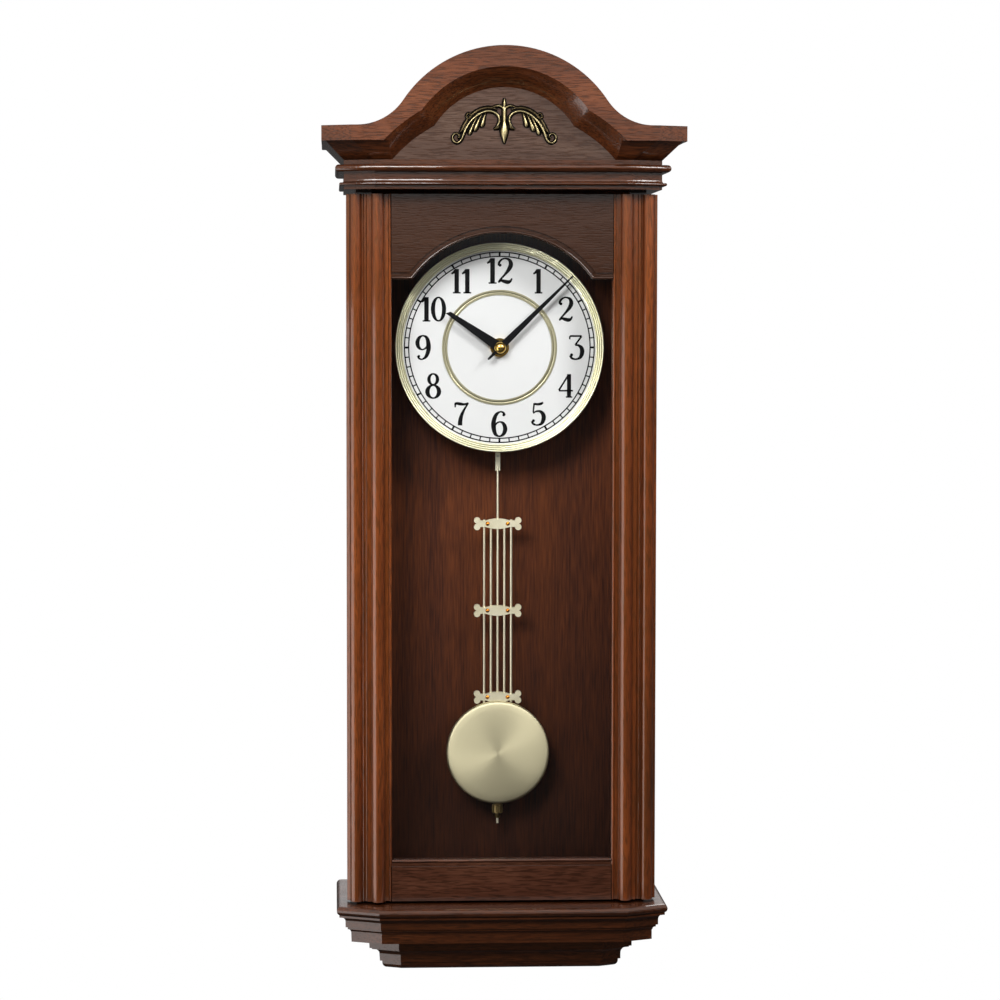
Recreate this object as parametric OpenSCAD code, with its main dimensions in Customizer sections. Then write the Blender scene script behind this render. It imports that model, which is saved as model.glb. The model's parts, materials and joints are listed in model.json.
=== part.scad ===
// Wall-hung pendulum clock in a stained wooden case with a glazed door.
// X runs to the right, -Y out from the wall and +Z up, all in millimetres.
// Heights are set out from the underside of the base and then hung from the wall hook.

/* [Case] */
// Width over the two side panels
case_w = 206; // [202:1:214]
// Depth of the side panels, from the wall to the back of the door
case_d = 69; // [66:1:80]
// Thickness of each side panel
side_t = 12; // [10:0.5:14]
// Thickness of the back panel
back_t = 5; // [4:0.5:7]
// Distance from the wall to the back of the back panel
back_inset = 5; // [4:0.5:6]
// Thickness of the floor board
floor_t = 12; // [8:0.5:16]
// Thickness of the top board
top_t = 18; // [16:0.5:22]
// Width of the service opening behind the movement
service_w = 72; // [66:1:78]
// Height of the service opening behind the movement
service_h = 92; // [86:1:96]

/* [Base] */
// Height of the lower plinth
plinth_h = 23.5; // [20:0.5:27]
// Height of the moulded ledge
ledge_h = 26.4; // [26:0.1:29]
// How far the ledge stands out past each side panel
ledge_over = 14.2; // [13:0.1:16]
// How far the ledge stands out past the columns
ledge_front = 16.9; // [15:0.1:19]
// How far the plinth is set back from the ledge nose
plinth_back = 23.3; // [21:0.1:26]
// Width of the ledge's corner chamfer, seen from the front
ledge_chamfer = 29.7; // [26:0.1:32]
// Angle of the corner chamfers in plan
chamfer_a = 22; // [18:0.5:26]

/* [Hood] */
// Height of the cornice moulding
cornice_h = 20.2; // [20:0.1:24]
// How far the cornice neck stands out past each side panel
cornice_over = 8.3; // [7:0.1:10]
// How far the cornice neck stands out past the columns
cornice_front = 11.4; // [10:0.1:14]
// Width of the cornice's corner chamfer, seen from the front
cornice_chamfer = 21.6; // [19:0.1:24]
// Height and reach of the bevel under the fascia
bevel = 12.5; // [11:0.1:14]
// Flat step between the bevel and the fascia
bevel_step = 3; // [2:0.1:4]
// Height of the fascia at its two ends
ear_h = 10.5; // [9:0.1:13]
// Extra reach of the fascia at its chamfered ends
ear_extra = 4.9; // [3:0.1:6]
// Thickness of the fascia board
fascia_t = 22; // [22:0.5:26]
// Radius of the dome
dome_r = 84.8; // [80:0.1:88]
// Radius of the hollow curve that joins the dome to each end
cove_r = 38.5; // [36:0.1:42]
// Distance from the middle to where the hollow curve starts
cove_x = 102.4; // [100:0.1:104]
// Width of the face band round the dome
band_w = 14.5; // [13:0.1:17]
// Radius of the wide arch below the dome
wide_r = 116.1; // [112:0.1:120]
// Reach of the splay inside the dome
splay = 13; // [11:0.1:14]
// Depth of the splay, from the fascia face to the inner panel
splay_d = 16; // [15.6:0.1:18]
// Thickness of the inner panel
inner_t = 5; // [4:0.1:6]
// Thickness of the dust board on top
dust_t = 6; // [4:0.5:8]

/* [Door] */
// How far the door stands out past each side panel
door_over = 6.7; // [6:0.1:8]
// Height of the door
door_h = 500.1; // [480:0.1:520]
// Thickness of the door
door_t = 14; // [13:0.1:16]
// Gap between the case and the back of the door
door_gap = 0.5; // [0.4:0.1:1]
// Gap between the ledge and the door
foot_gap = 1.6; // [1.2:0.1:4]
// Gap between the door and the cornice
head_gap = 2.8; // [2:0.1:4]
// Width of each stile
stile_w = 31.7; // [31:0.1:34]
// Height of the bottom rail
rail_h = 29.4; // [26:0.1:34]
// Width of the rebate that holds the glass
rebate_w = 4; // [3.5:0.1:5]
// Thickness of wood in front of the glass
lip_t = 4; // [3.4:0.1:4.5]
// Width of the sunk band round the opening
band_in = 4.8; // [4.4:0.1:5]
// Depth of the sunk band round the opening
band_sunk = 1.4; // [1:0.1:1.8]
// Radius of the bead round the opening
bead_r = 0.95; // [0.7:0.05:1.1]
// Distance from the opening's edge to the bead's middle
bead_in = 1.1; // [1:0.05:1.3]
// Height of the shoulders above the centre of the arch
shoulder_up = 45.6; // [43:0.1:48]
// Radius of each half-round column
column_r = 4.6; // [4.2:0.1:4.8]
// Distance from the opening to the inner column's centre
column_in = 9.7; // [9.5:0.1:10.2]
// Distance from the outer column's centre to the door's edge
column_out = 6.7; // [6.5:0.1:7]
// Thickness of the glass
glass_t = 2; // [1.6:0.1:2.5]
// Thickness of the strips that hold the glass
strip_t = 4; // [3:0.1:5]

/* [Hinges and catch] */
// Height of each hinge
hinge_h = 40; // [34:1:48]
// Radius of the hinge knuckles
knuckle_r = 2.5; // [2.3:0.1:2.7]
// Radius of the hinge pins
hinge_pin_r = 1.1; // [1:0.05:1.3]
// Thickness of the hinge leaves
leaf_t = 1; // [0.8:0.1:1.2]
// Length of each hinge leaf
leaf_l = 15; // [12:0.5:17]
// Distance from each end of the door to the middle of its hinge
hinge_end = 74; // [60:1:90]
// Height of the magnetic catch
catch_h = 34; // [26:1:44]

/* [Dial] */
// Outer diameter of the bezel
dial_d = 150; // [148:0.5:154]
// Width of the bezel
bezel_w = 5.8; // [5:0.1:7]
// Distance from the top of the door to the dial's centre
dial_drop = 107.8; // [104:0.1:112]
// Distance from the wall to the face of the dial
dial_out = 50; // [49:0.5:52]
// Thickness of the dial plate
dial_t = 1; // [0.8:0.1:1.4]
// Thickness of the board behind the dial
board_t = 6; // [5:0.5:7]
// Diameter of the board behind the dial
board_d = 138; // [134:1:139]
// Middle radius of the gilt ring inside the numerals
ring_r = 39.3; // [36:0.1:42]
// Width of the gilt ring inside the numerals
ring_w = 3.8; // [3:0.1:5]
// Radius of the nut that clamps the dial
nut_r = 6.75; // [6.4:0.05:7.5]
// Distance from the middle to each spacer post, across and up
post_at = 45; // [42:0.5:47]
// Radius of the spacer posts
post_r = 4; // [3.4:0.1:4.6]

/* [Hands] */
// Length of the minute hand from its axis
minute_l = 72.7; // [68:0.1:73]
// Length of the minute hand's tail
minute_tail = 12.2; // [10:0.1:14]
// Length of the hour hand from its axis
hour_l = 45.9; // [42:0.1:50]
// Thickness of the hands
hand_t = 0.6; // [0.4:0.1:0.8]
// Radius of the cap over the hands
cap_r = 4.15; // [3.8:0.05:4.6]
// Clock angle of the hour hand
hour_angle = 304; // [0:1:360]
// Clock angle of the minute hand
minute_angle = 45.6; // [0:0.1:360]

/* [Movement] */
// Width of the movement's housing
move_w = 56; // [56:0.5:60]
// Depth of the movement's housing
move_d = 20; // [20:0.1:21]
// Height of the housing above the hands' axis
move_up = 30; // [30:0.1:32]
// Height of the housing below the hands' axis
move_down = 62; // [60:0.5:64]
// Wall of the housing
move_wall = 1.6; // [1.4:0.1:1.8]
// Distance between the hands' axis and the motion wheel's axis
wheel_gap = 10; // [10:0.1:10.4]
// Radius of the minute arbor's stem
arbor_r = 1.6; // [1.4:0.05:1.7]
// Outer radius of the hour wheel's pipe
pipe_r = 2.4; // [2.3:0.05:2.5]
// Outer radius of the threaded bush
bush_r = 4; // [3.8:0.05:4.4]
// Radius of the round cell that drives the clock
cell_r = 7.1; // [6.9:0.05:7.15]
// Length of the round cell that drives the clock
cell_l = 50; // [49:0.1:51]
// Radius of the setting knob
knob_r = 5.5; // [5:0.1:6]

/* [Pendulum] */
// Distance from the hands' axis down to the pendulum's pivot
pivot_drop = 36; // [34:0.5:38]
// Distance from the pivot down to the pin that carries the pendulum
hook_drop = 42.8; // [41:0.1:45]
// Distance from the carrying pin to the middle of the upper plate
upper_drop = 49; // [46:0.1:56]
// Distance between the middles of the plates
plate_pitch = 63.2; // [56:0.1:68]
// Overall width of each plate
plate_w = 34.4; // [32:0.1:36]
// Thickness of each plate
plate_t = 3; // [2.6:0.1:3.4]
// Radius of the lobes at the ends of each plate
lobe_r = 2.3; // [2.1:0.05:2.5]
// Radius of the thin rods
rod_r = 0.9; // [0.7:0.05:1]
// Distance between neighbouring rods
rod_pitch = 4.9; // [4.8:0.1:5.3]
// Radius of the bob
bob_r = 37.5; // [34:0.5:38]
// Distance from the lower plate down to the bob's centre
bob_drop = 40.1; // [39.5:0.1:44]
// Radius of the rating nut
rating_r = 4; // [3.6:0.1:4.4]
// Height of the rating nut
rating_h = 9.4; // [8:0.1:10]

/* [Wall hanger] */
// Width of the hanger plate
hanger_w = 60; // [52:1:66]
// Thickness of the hanger plate
hanger_t = 1.5; // [1.2:0.1:2]
// Radius of the round hole that passes over the wall hook's head
keyhole_r = 4.5; // [4:0.1:5]
// Half width of the slot above the round hole
slot_r = 2; // [1.6:0.1:2.2]
// Length of the slot above the round hole
slot_l = 7; // [6:0.1:7.5]
// Distance from the top board's upper face down to the round hole
hanger_drop = 11; // [10:0.1:12]

/* [Fits] */
// Radial clearance of pins and arbors in their bores
run_fit = 0.05; // [0.03:0.01:0.08]
// Clearance between parts that only pass each other
free_gap = 0.3; // [0.3:0.05:0.5]

/* [Hidden] */
$fn = 96;

wood = "#6b3a22";
wood_dark = "#4a2618";
brass = "#b9a878";
steel = "#9a9a98";
plastic = "#2b2b2e";
cut = 1;                 // how far a cutting shape runs past the face that it opens
reach = 260;             // inward reach of a moulding's profile, past every middle line

case_half = case_w / 2;
door_half = case_half + door_over;
open_half = door_half - stile_w;
side_in = case_half - side_t;
door_back = case_d + door_gap;
door_face = door_back + door_t;
column_front = door_face + column_r;

ledge_z = plinth_h + ledge_h;
door_z = ledge_z + foot_gap;
door_top = door_z + door_h;
cornice_z = door_top + head_gap;
hood_z = cornice_z + cornice_h;
ear_z = hood_z + bevel;
ear_top = ear_z + ear_h;

neck_half = case_half + cornice_over;
neck_front = column_front + cornice_front;
ear_reach = bevel + bevel_step;
fascia_front = neck_front + ear_reach;
fascia_back = fascia_front - fascia_t;
inner_front = fascia_front - splay_d;
nose_half = case_half + ledge_over;
nose_front = column_front + ledge_front;

cove_z = ear_top + cove_r;
dome_z = cove_z - sqrt(pow(dome_r + cove_r, 2) - pow(cove_x, 2));
arch_r = dome_r - band_w;
cusp_a = 35;             // angle of the cusp above the dome's centre
cusp_x = arch_r * cos(cusp_a);
cusp_z = dome_z + arch_r * sin(cusp_a);
wide_z = cusp_z - sqrt(pow(wide_r, 2) - pow(cusp_x, 2));
panel_lap = 5;           // how far the inner panel runs past the opening that it closes

dial_z = door_top - dial_drop;
dial_r = dial_d / 2;
arch_z = dial_z + 2.5;
shoulder_z = arch_z + shoulder_up;
open_z = door_z + rail_h;
rebate_top = arch_z + open_half + rebate_w;
lip_back = door_t - lip_t;
panel_front = back_inset + back_t;
board_front = dial_out - dial_t;
board_back = board_front - board_t;
move_front = board_back;
move_back = move_front - move_d;
split = move_back + move_d / 2;
service_z = dial_z - 8;  // the cell, the knob and the pendulum's pivot all lie in the opening
hanger_z = hood_z - hanger_drop;

function chamfer_at(half, front, wide) =
  (half - wide) * sin(chamfer_a) + front * cos(chamfer_a);

// Hangs what is set out from the base's underside on the wall hook
module hung() {
  translate([0, 0, -hanger_z]) children();
}

// Stands a shape drawn in X and Z up, from a distance out from the wall and towards the front
module facing(back, thick) {
  translate([0, -back, 0]) rotate([90, 0, 0]) linear_extrude(height = thick) children();
}

// A round bar square to the wall
module stud(x, z, back, long, r) {
  translate([x, -back, z]) rotate([90, 0, 0]) cylinder(h = long, r = r);
}

// A plain board from its low and high corners, with depths measured out from the wall
module board(x0, x1, back, front, z0, z1) {
  translate([x0, -front, z0]) cube([x1 - x0, front - back, z1 - z0]);
}

// Mouldings: a profile is drawn with X outwards and Y up, and runs round the front and sides

module run_along(normal_a, distance) {
  rotate([0, 0, normal_a]) translate([distance, 0, 0]) rotate([90, 0, 0])
    linear_extrude(height = 2 * reach, center = true) children();
}

// The first child is the profile of the front and sides, the second that of the two chamfers
module moulded(half, front, wide) {
  intersection() {
    run_along(0, half) children(0);
    run_along(180, half) children(0);
    run_along(-90, front) children(0);
    run_along(-90 + chamfer_a, chamfer_at(half, front, wide)) children(1);
    run_along(-90 - chamfer_a, chamfer_at(half, front, wide)) children(1);
    translate([-reach, -reach, -reach]) cube([2 * reach, reach, 4 * reach]);
  }
}

module tier(z0, z1, out) {
  translate([-reach, z0]) square([reach + out, z1 - z0]);
}

module round_tier(z0, z1, out) {
  r = (z1 - z0) / 2;
  tier(z0, z1, out - r);
  translate([out - r, z0 + r]) circle(r = r);
}

// A hollow quarter-round that widens downwards
module flare_tier(z0, z1, out) {
  difference() {
    tier(z0, z1, out + z1 - z0);
    translate([out + z1 - z0, z1]) circle(r = z1 - z0);
  }
}

// Base

nose_t = 6.4;            // thickness of the ledge's rounded nose
fillet_t = 1.4;          // small flat under the nose
ledge_cove = 3.7;
ledge_flat = 3.9;
ledge_step = 1.7;
ledge_cove_low = 2.3;
fillet_in = 1.8;         // how far a small flat is set back from the edge beside it
flat_a = 15;             // the rounds and hollows of the base are drawn in flats of this angle

// Points of a hollow quarter-round that narrows downwards, from its upper edge
function hollow(z0, r, out) =
  [for (a = [90:-flat_a:0]) [out + r * (1 - cos(a)), z0 + r * sin(a)]];

module ledge_profile() {
  nose_r = nose_t / 2;
  nose_z = ledge_z - nose_t;
  cove_top = nose_z - fillet_t;
  flat_top = cove_top - ledge_cove;
  step_top = flat_top - ledge_flat;
  low_top = step_top - ledge_step;
  foot_top = low_top - ledge_cove_low;
  flat_in = 6.2;
  step_in = 7.7;
  foot_in = step_in + ledge_cove_low;
  foot_step = 0.4;
  polygon([
    [-reach, ledge_z],
    for (a = [90:-flat_a:-90]) [nose_r * (cos(a) - 1), nose_z + nose_r * (1 + sin(a))],
    [-fillet_in, nose_z], [-fillet_in, cove_top],
    each hollow(flat_top, ledge_cove, -flat_in),
    [-flat_in, step_top], [-step_in, step_top],
    each hollow(foot_top, ledge_cove_low, -foot_in),
    [-foot_in - foot_step, foot_top], [-foot_in - foot_step, plinth_h], [-reach, plinth_h]
  ]);
}

plinth_round = 4;        // radius of the plinth's lowest edge
plinth_cove = 5.2;
plinth_fillet = 1.1;
plinth_chamfer = ledge_chamfer - 9;

module plinth_profile() {
  cove_low = 9.5;
  cove_high = cove_low + plinth_cove;
  inset = 7.5;
  foot_in = inset + 1.7;
  foot_top = plinth_round + 1.4;
  polygon([
    [-reach, plinth_h], [0, plinth_h], [0, cove_high + plinth_fillet],
    [-fillet_in, cove_high + plinth_fillet], [-fillet_in, cove_high],
    each hollow(cove_low, plinth_cove, -inset),
    [-inset, foot_top], [-foot_in, foot_top],
    for (a = [90:-flat_a:0])
      [-foot_in - plinth_round * (1 - sin(a)), plinth_round * (1 - cos(a))],
    [-reach, 0]
  ]);
}

module base_plinth() {
  color(wood) hung()
    moulded(nose_half - plinth_back, nose_front - plinth_back, plinth_chamfer) {
      plinth_profile();
      plinth_profile();
    }
}

module base_ledge() {
  color(wood) hung() moulded(nose_half, nose_front, ledge_chamfer) {
    ledge_profile();
    ledge_profile();
  }
}

// Case boards

module side_panel() {
  board(side_in, case_half, 0, case_d, ledge_z, hood_z);
}

module side_panel_left() {
  color(wood_dark) hung() mirror([1, 0, 0]) side_panel();
}

module side_panel_right() {
  color(wood_dark) hung() side_panel();
}

module floor_board() {
  color(wood_dark) hung() board(-side_in, side_in, 0, case_d, ledge_z, ledge_z + floor_t);
}

head_pocket = 5;         // depth of the pocket behind the hanger for the wall hook's head
head_play = 1;           // how much wider the pocket is than the round hole, all round

module top_board() {
  pocket_r = keyhole_r + head_play;
  color(wood_dark) hung() difference() {
    board(-side_in, side_in, 0, case_d, hood_z - top_t, hood_z);
    board(-hanger_w / 2, hanger_w / 2, -cut, hanger_t, hood_z - top_t - cut, hood_z + cut);
    stud(0, hanger_z, 0, hanger_t + head_pocket, pocket_r);
    board(-pocket_r, pocket_r, 0, hanger_t + head_pocket, hanger_z, hood_z + cut);
    for (side = [-1, 1])
      stud(side * hanger_w / 3, hanger_z, 0, hanger_t + screw_l, screw_r);
  }
}

module back_panel() {
  color(wood_dark) hung() difference() {
    board(-side_in, side_in, back_inset, panel_front, ledge_z + floor_t, hood_z - top_t);
    board(-service_w / 2, service_w / 2, 0, panel_front + cut,
          service_z - service_h / 2, service_z + service_h / 2);
  }
}

// Wall hanger

screw_r = 1.5;
screw_l = 12;
screw_head_r = 3;
screw_head_t = 1.2;

module hanger_plate() {
  color(brass) hung() difference() {
    facing(0, hanger_t) difference() {
      translate([-hanger_w / 2, hood_z - top_t]) square([hanger_w, top_t]);
      translate([0, hanger_z]) circle(r = keyhole_r);
      translate([-slot_r, hanger_z]) square([2 * slot_r, slot_l]);
      translate([0, hanger_z + slot_l]) circle(r = slot_r);
    }
    for (side = [-1, 1])
      translate([side * hanger_w / 3, 0, hanger_z]) rotate([90, 0, 0]) {
        cylinder(h = screw_head_t, r1 = screw_head_r, r2 = screw_r);
        cylinder(h = hanger_t + cut, r = screw_r);
      }
  }
}

module hanger_screws() {
  color(steel) hung() for (side = [-1, 1])
    translate([side * hanger_w / 3, 0, hanger_z]) rotate([90, 0, 0]) {
      cylinder(h = screw_head_t, r1 = screw_head_r, r2 = screw_r);
      cylinder(h = hanger_t + screw_l, r = screw_r);
    }
}

// Cornice and hood

module cornice_profile() {
  torus_h = 5.2;
  head_fillet = 3.1;
  torus_z = hood_z - head_fillet - torus_h;
  torus_out = 6;
  cove = 3.2;
  bead_h = 2.2;
  fillet_h = 2.5;
  bead_z = cornice_z + fillet_h;
  tier(cornice_z, hood_z, 0);
  round_tier(torus_z, torus_z + torus_h, torus_out);
  round_tier(bead_z, bead_z + bead_h, cove);
  flare_tier(bead_z + bead_h / 2, bead_z + bead_h / 2 + cove, 0);
}

module cornice() {
  color(wood) hung() difference() {
    moulded(neck_half, neck_front, cornice_chamfer) {
      cornice_profile();
      cornice_profile();
    }
    board(-case_half, case_half, -cut, case_d, cornice_z - cut, hood_z + cut);
  }
}

module ear_profile(extra) {
  polygon([
    [-reach, hood_z], [0, hood_z], [bevel + extra, ear_z], [ear_reach + extra, ear_z],
    [ear_reach + extra, ear_top], [-reach, ear_top]
  ]);
}

module hood_block() {
  moulded(neck_half, neck_front, cornice_chamfer) {
    ear_profile(0);
    ear_profile(ear_extra);
  }
}

module fascia_outline() {
  join = dome_r / (dome_r + cove_r);
  join_z = dome_z + join * (cove_z - dome_z);
  translate([0, dome_z]) intersection() {
    circle(r = dome_r);
    translate([-dome_r, ear_top - dome_z - ear_h / 2]) square([2 * dome_r, 2 * dome_r]);
  }
  difference() {
    translate([-cove_x, ear_top - ear_h / 2]) square([2 * cove_x, join_z - ear_top + ear_h / 2]);
    for (side = [-1, 1])
      translate([side * cove_x, cove_z]) circle(r = cove_r);
  }
}

module arch_opening(grow) {
  translate([0, dome_z]) circle(r = arch_r - splay + grow);
  translate([0, wide_z]) circle(r = wide_r - splay + grow);
}

module splay_cut(r) {
  slope = splay / splay_d;
  translate([0, -inner_front, 0]) rotate([90, 0, 0])
    cylinder(h = splay_d + cut, r1 = r - splay, r2 = r + slope * cut);
}

module hood_fascia() {
  color(wood) hung() difference() {
    union() {
      facing(fascia_back, fascia_t) fascia_outline();
      intersection() {
        hood_block();
        board(-reach, reach, fascia_back, reach, hood_z, ear_top);
      }
    }
    translate([0, 0, dome_z]) splay_cut(arch_r);
    translate([0, 0, wide_z]) splay_cut(wide_r);
    facing(fascia_back - cut, inner_front - fascia_back + cut) arch_opening(panel_lap);
  }
}

module hood_side() {
  difference() {
    intersection() {
      hood_block();
      board(0, reach, 0, fascia_back, hood_z, ear_top);
    }
    board(-cut, side_in, -cut, fascia_back + cut, hood_z - cut, ear_top + cut);
  }
}

module hood_side_left() {
  color(wood) hung() mirror([1, 0, 0]) hood_side();
}

module hood_side_right() {
  color(wood) hung() hood_side();
}

module hood_dust_board() {
  color(wood_dark) hung() board(-side_in, side_in, 0, fascia_back, ear_top - dust_t, ear_top);
}

module hood_inner_panel() {
  color(wood_dark) hung() facing(inner_front - inner_t, inner_t) intersection() {
    arch_opening(panel_lap);
    translate([-reach, hood_z]) square([2 * reach, reach]);
  }
}

// Cast scroll ornament, drawn with its lowest tip at the middle of X and Y

orn_z = hood_z + 10.4;   // height of the ornament's lowest tip
orn_base = 1.2;          // thickness of the casting between its ridges
orn_ridge = 2.8;         // thickness at the ridges
orn_h = 32.6;            // height from the lowest tip to the spike's point
arm_x = 9.4;             // the hook and the arm both have their centres on this line
arm_y = 2.5;
arm_r = 19.4;
hook_r = 6;
hook_y_at = arm_y + arm_r - hook_r;
volute_x = 32.3;
volute_y = 4.2;
volute_r = 3.5;
ridge_half = 0.7;        // half width of the raised ridges
curl = [24.3, 19.4];     // middle of the small curl on the arm
cross_at = [0.4, 24.2];  // inner tip of the leaf that lies across the spear
leaflets = [             // root on the arm, tip and tip radius of each leaflet
  [[18.6, 19.3], [23.9, 6.9], 1.2],
  [[15.8, 20.6], [20.1, 9.6], 1.5],
  [[12.9, 21.2], [15.2, 12.1], 1.5]
];

// A flat ring segment between two angles
module arc_band(x, y, r0, r1, a0, a1) {
  steps = ceil((a1 - a0) / 60);
  far = 2 * r1;
  translate([x, y]) intersection() {
    difference() {
      circle(r = r1);
      circle(r = r0);
    }
    polygon([
      [0, 0],
      for (i = [0:steps])
        [far * cos(a0 + (a1 - a0) * i / steps), far * sin(a0 + (a1 - a0) * i / steps)]
    ]);
  }
}

// A pointed leaf shape, standing on its lower tip
module lens(high, half) {
  side_r = (pow(high / 2, 2) + pow(half, 2)) / (2 * half);
  translate([0, high / 2]) intersection() {
    translate([side_r - half, 0]) circle(r = side_r);
    translate([half - side_r, 0]) circle(r = side_r);
  }
}

// A leaflet that hangs from the arm and ends in a round tip
module leaflet(root, tip, tip_r) {
  root_half = 0.7;
  tip_half = 0.8 * tip_r;
  polygon([
    [root[0] - root_half, root[1]], [root[0] + root_half, root[1]],
    [tip[0] + tip_half, tip[1]], [tip[0] - tip_half, tip[1]]
  ]);
  translate(tip) circle(r = tip_r);
}

// Low casting behind the ridges, with the leaflets and the cross leaf
module scroll_web() {
  hook_w = 3;
  arm_w = 2.7;
  cross_l = 10.4;
  cross_half = 1.5;
  arc_band(arm_x, hook_y_at, hook_r - ridge_half, hook_r + hook_w, 90, 205);
  arc_band(arm_x, arm_y, arm_r - ridge_half, arm_r + arm_w, 8, 90);
  translate([volute_x, volute_y]) circle(r = volute_r);
  arc_band(curl[0], curl[1], 0.9, 2, -60, 210);
  for (part = leaflets)
    leaflet(part[0], part[1], part[2]);
  translate(cross_at) rotate([0, 0, -88]) lens(cross_l, cross_half);
}

// Raised ridge of the hook, the arm and the volute
module scroll_ridge() {
  inner_r = 1.9;
  inner_half = 0.5;
  arc_band(arm_x, hook_y_at, hook_r - ridge_half, hook_r + ridge_half, 90, 245);
  arc_band(arm_x, arm_y, arm_r - ridge_half, arm_r + ridge_half, 8, 90);
  arc_band(volute_x, volute_y, volute_r - ridge_half, volute_r + ridge_half, 152, 450);
  arc_band(volute_x, volute_y + volute_r - inner_r, inner_r - inner_half, inner_r + inner_half,
           90, 290);
}

module spear() {
  blade_h = 17;
  blade_half = 3.4;
  stem_half = 1.9;
  spike_h = 11.6;
  spike_half = 1.6;
  sunk = 0.4;            // share of a leaf's height that the stem covers
  stem_low = blade_h * (1 - sunk);
  stem_high = orn_h - spike_h * (1 - sunk);
  lens(blade_h, blade_half);
  translate([-stem_half, stem_low]) square([2 * stem_half, stem_high - stem_low]);
  translate([0, orn_h - spike_h]) lens(spike_h, spike_half);
}

module pediment_ornament() {
  spear_t = orn_ridge + 0.6;
  color(brass) hung() translate([0, -inner_front, orn_z]) rotate([90, 0, 0]) {
    linear_extrude(height = spear_t) spear();
    for (side = [0, 1])
      mirror([side, 0, 0]) {
        linear_extrude(height = orn_base) scroll_web();
        linear_extrude(height = orn_ridge) scroll_ridge();
      }
  }
}

// Door frame, drawn in plan with X outwards and Y as the distance from the door's back

door_chamfer = 14.2;     // width of the door's chamfer, seen from the front
chamfer_x = door_half - door_chamfer;

module stile_plan() {
  edge_t = door_t - door_chamfer * tan(chamfer_a);
  column_b = door_half - column_out;
  column_b_y = door_t - (column_b - chamfer_x) * tan(chamfer_a);
  column_a = open_half + column_in;
  groove_r = 1.5;
  groove_off = 1.3;      // the groove lies a little outside the middle of the two columns
  groove_sunk = 0.4;
  groove_x = (column_a + column_b) / 2 + groove_off;
  difference() {
    polygon([
      [open_half, 0], [door_half, 0], [door_half, edge_t], [chamfer_x, door_t],
      [open_half, door_t]
    ]);
    translate([open_half - cut, -cut]) square([rebate_w + cut, lip_back + cut]);
    translate([open_half - cut, door_t - band_sunk]) square([band_in + cut, band_sunk + cut]);
    translate([groove_x, door_t - groove_sunk]) circle(r = groove_r);
  }
  intersection() {
    union() {
      translate([column_a, door_t]) circle(r = column_r);
      translate([column_b, column_b_y]) circle(r = column_r);
    }
    translate([open_half, lip_back]) square([stile_w, 2 * column_r + lip_t]);
  }
  translate([open_half + bead_in, door_t - band_sunk]) circle(r = bead_r);
}

module stile() {
  translate([0, -door_back, door_z]) mirror([0, 1, 0]) linear_extrude(height = door_h)
    stile_plan();
}

module door_stile_left() {
  color(wood) hung() difference() {
    mirror([1, 0, 0]) stile();
    board(-side_in, -side_in + strike_w, door_back - cut, door_back + strike_t,
          catch_z - catch_h / 2, catch_z + catch_h / 2);
  }
}

module door_stile_right() {
  color(wood) hung() difference() {
    stile();
    for (z = hinge_zs)
      board(hinge_x - leaf_l, hinge_x + knuckle_r, door_back - cut, door_back + leaf_t,
            z - hinge_h / 2, z + hinge_h / 2);
  }
}

module opening(grow) {
  translate([-open_half - grow, open_z - grow])
    square([2 * (open_half + grow), shoulder_z - open_z + 2 * grow]);
  translate([0, arch_z]) circle(r = open_half + grow);
}

module door_top_rail() {
  shoulder_a = asin(shoulder_up / open_half);
  shoulder_x = open_half * cos(shoulder_a);
  bead_y = door_face - band_sunk;
  color(wood) hung() {
    difference() {
      union() {
        board(-open_half, open_half, door_back, door_face, shoulder_z, door_top);
        board(-open_half - rebate_w, open_half + rebate_w, door_back, door_back + lip_back,
              rebate_top, door_top);
      }
      facing(door_back - cut, door_t + 2 * cut) opening(0);
      facing(door_face - band_sunk, band_sunk + cut) opening(band_in);
      board(-open_half - rebate_w - cut, open_half + rebate_w + cut,
            door_back - cut, door_back + lip_back, shoulder_z - cut, rebate_top);
    }
    translate([0, -bead_y, arch_z]) rotate([90, 0, 0]) rotate([0, 0, shoulder_a])
      rotate_extrude(angle = 180 - 2 * shoulder_a)
        translate([open_half + bead_in, 0]) circle(r = bead_r);
    for (side = [-1, 1])
      translate([side * (shoulder_x + open_half) / 2, -bead_y, shoulder_z + bead_in])
        rotate([0, 90, 0]) cylinder(h = open_half - shoulder_x, r = bead_r, center = true);
  }
}

module door_bottom_rail() {
  color(wood) hung() {
    difference() {
      union() {
        board(-open_half, open_half, door_back, door_face, door_z, open_z);
        board(-open_half - rebate_w, open_half + rebate_w, door_back, door_back + lip_back,
              door_z, open_z - rebate_w);
      }
      board(-open_half - cut, open_half + cut, door_face - band_sunk, door_face + cut,
            open_z - band_in, open_z + cut);
      board(-open_half - rebate_w - cut, open_half + rebate_w + cut,
            door_back - cut, door_back + lip_back, open_z - rebate_w, open_z + cut);
    }
    translate([0, -door_face + band_sunk, open_z - bead_in]) rotate([0, 90, 0])
      cylinder(h = 2 * open_half, r = bead_r, center = true);
  }
}

glass_half = open_half + rebate_w - free_gap;
glass_front = door_back + lip_back;

module door_glass() {
  color([0.8, 0.9, 0.95, 0.3]) hung()
    board(-glass_half, glass_half, glass_front - glass_t, glass_front,
          open_z - rebate_w + free_gap, rebate_top - free_gap);
}

module glass_strips() {
  front = glass_front - glass_t;
  back = front - strip_t;
  wide = rebate_w - free_gap;
  low = open_z - rebate_w;
  color(wood_dark) hung() {
    for (side = [-1, 1])
      board(side * (open_half + wide / 2) - wide / 2, side * (open_half + wide / 2) + wide / 2,
            back, front, low, rebate_top);
    board(-open_half, open_half, back, front, low, low + wide);
    board(-open_half, open_half, back, front, rebate_top - wide, rebate_top);
  }
}

// Hinges stand in the corner between the side panel and the door's back

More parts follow.
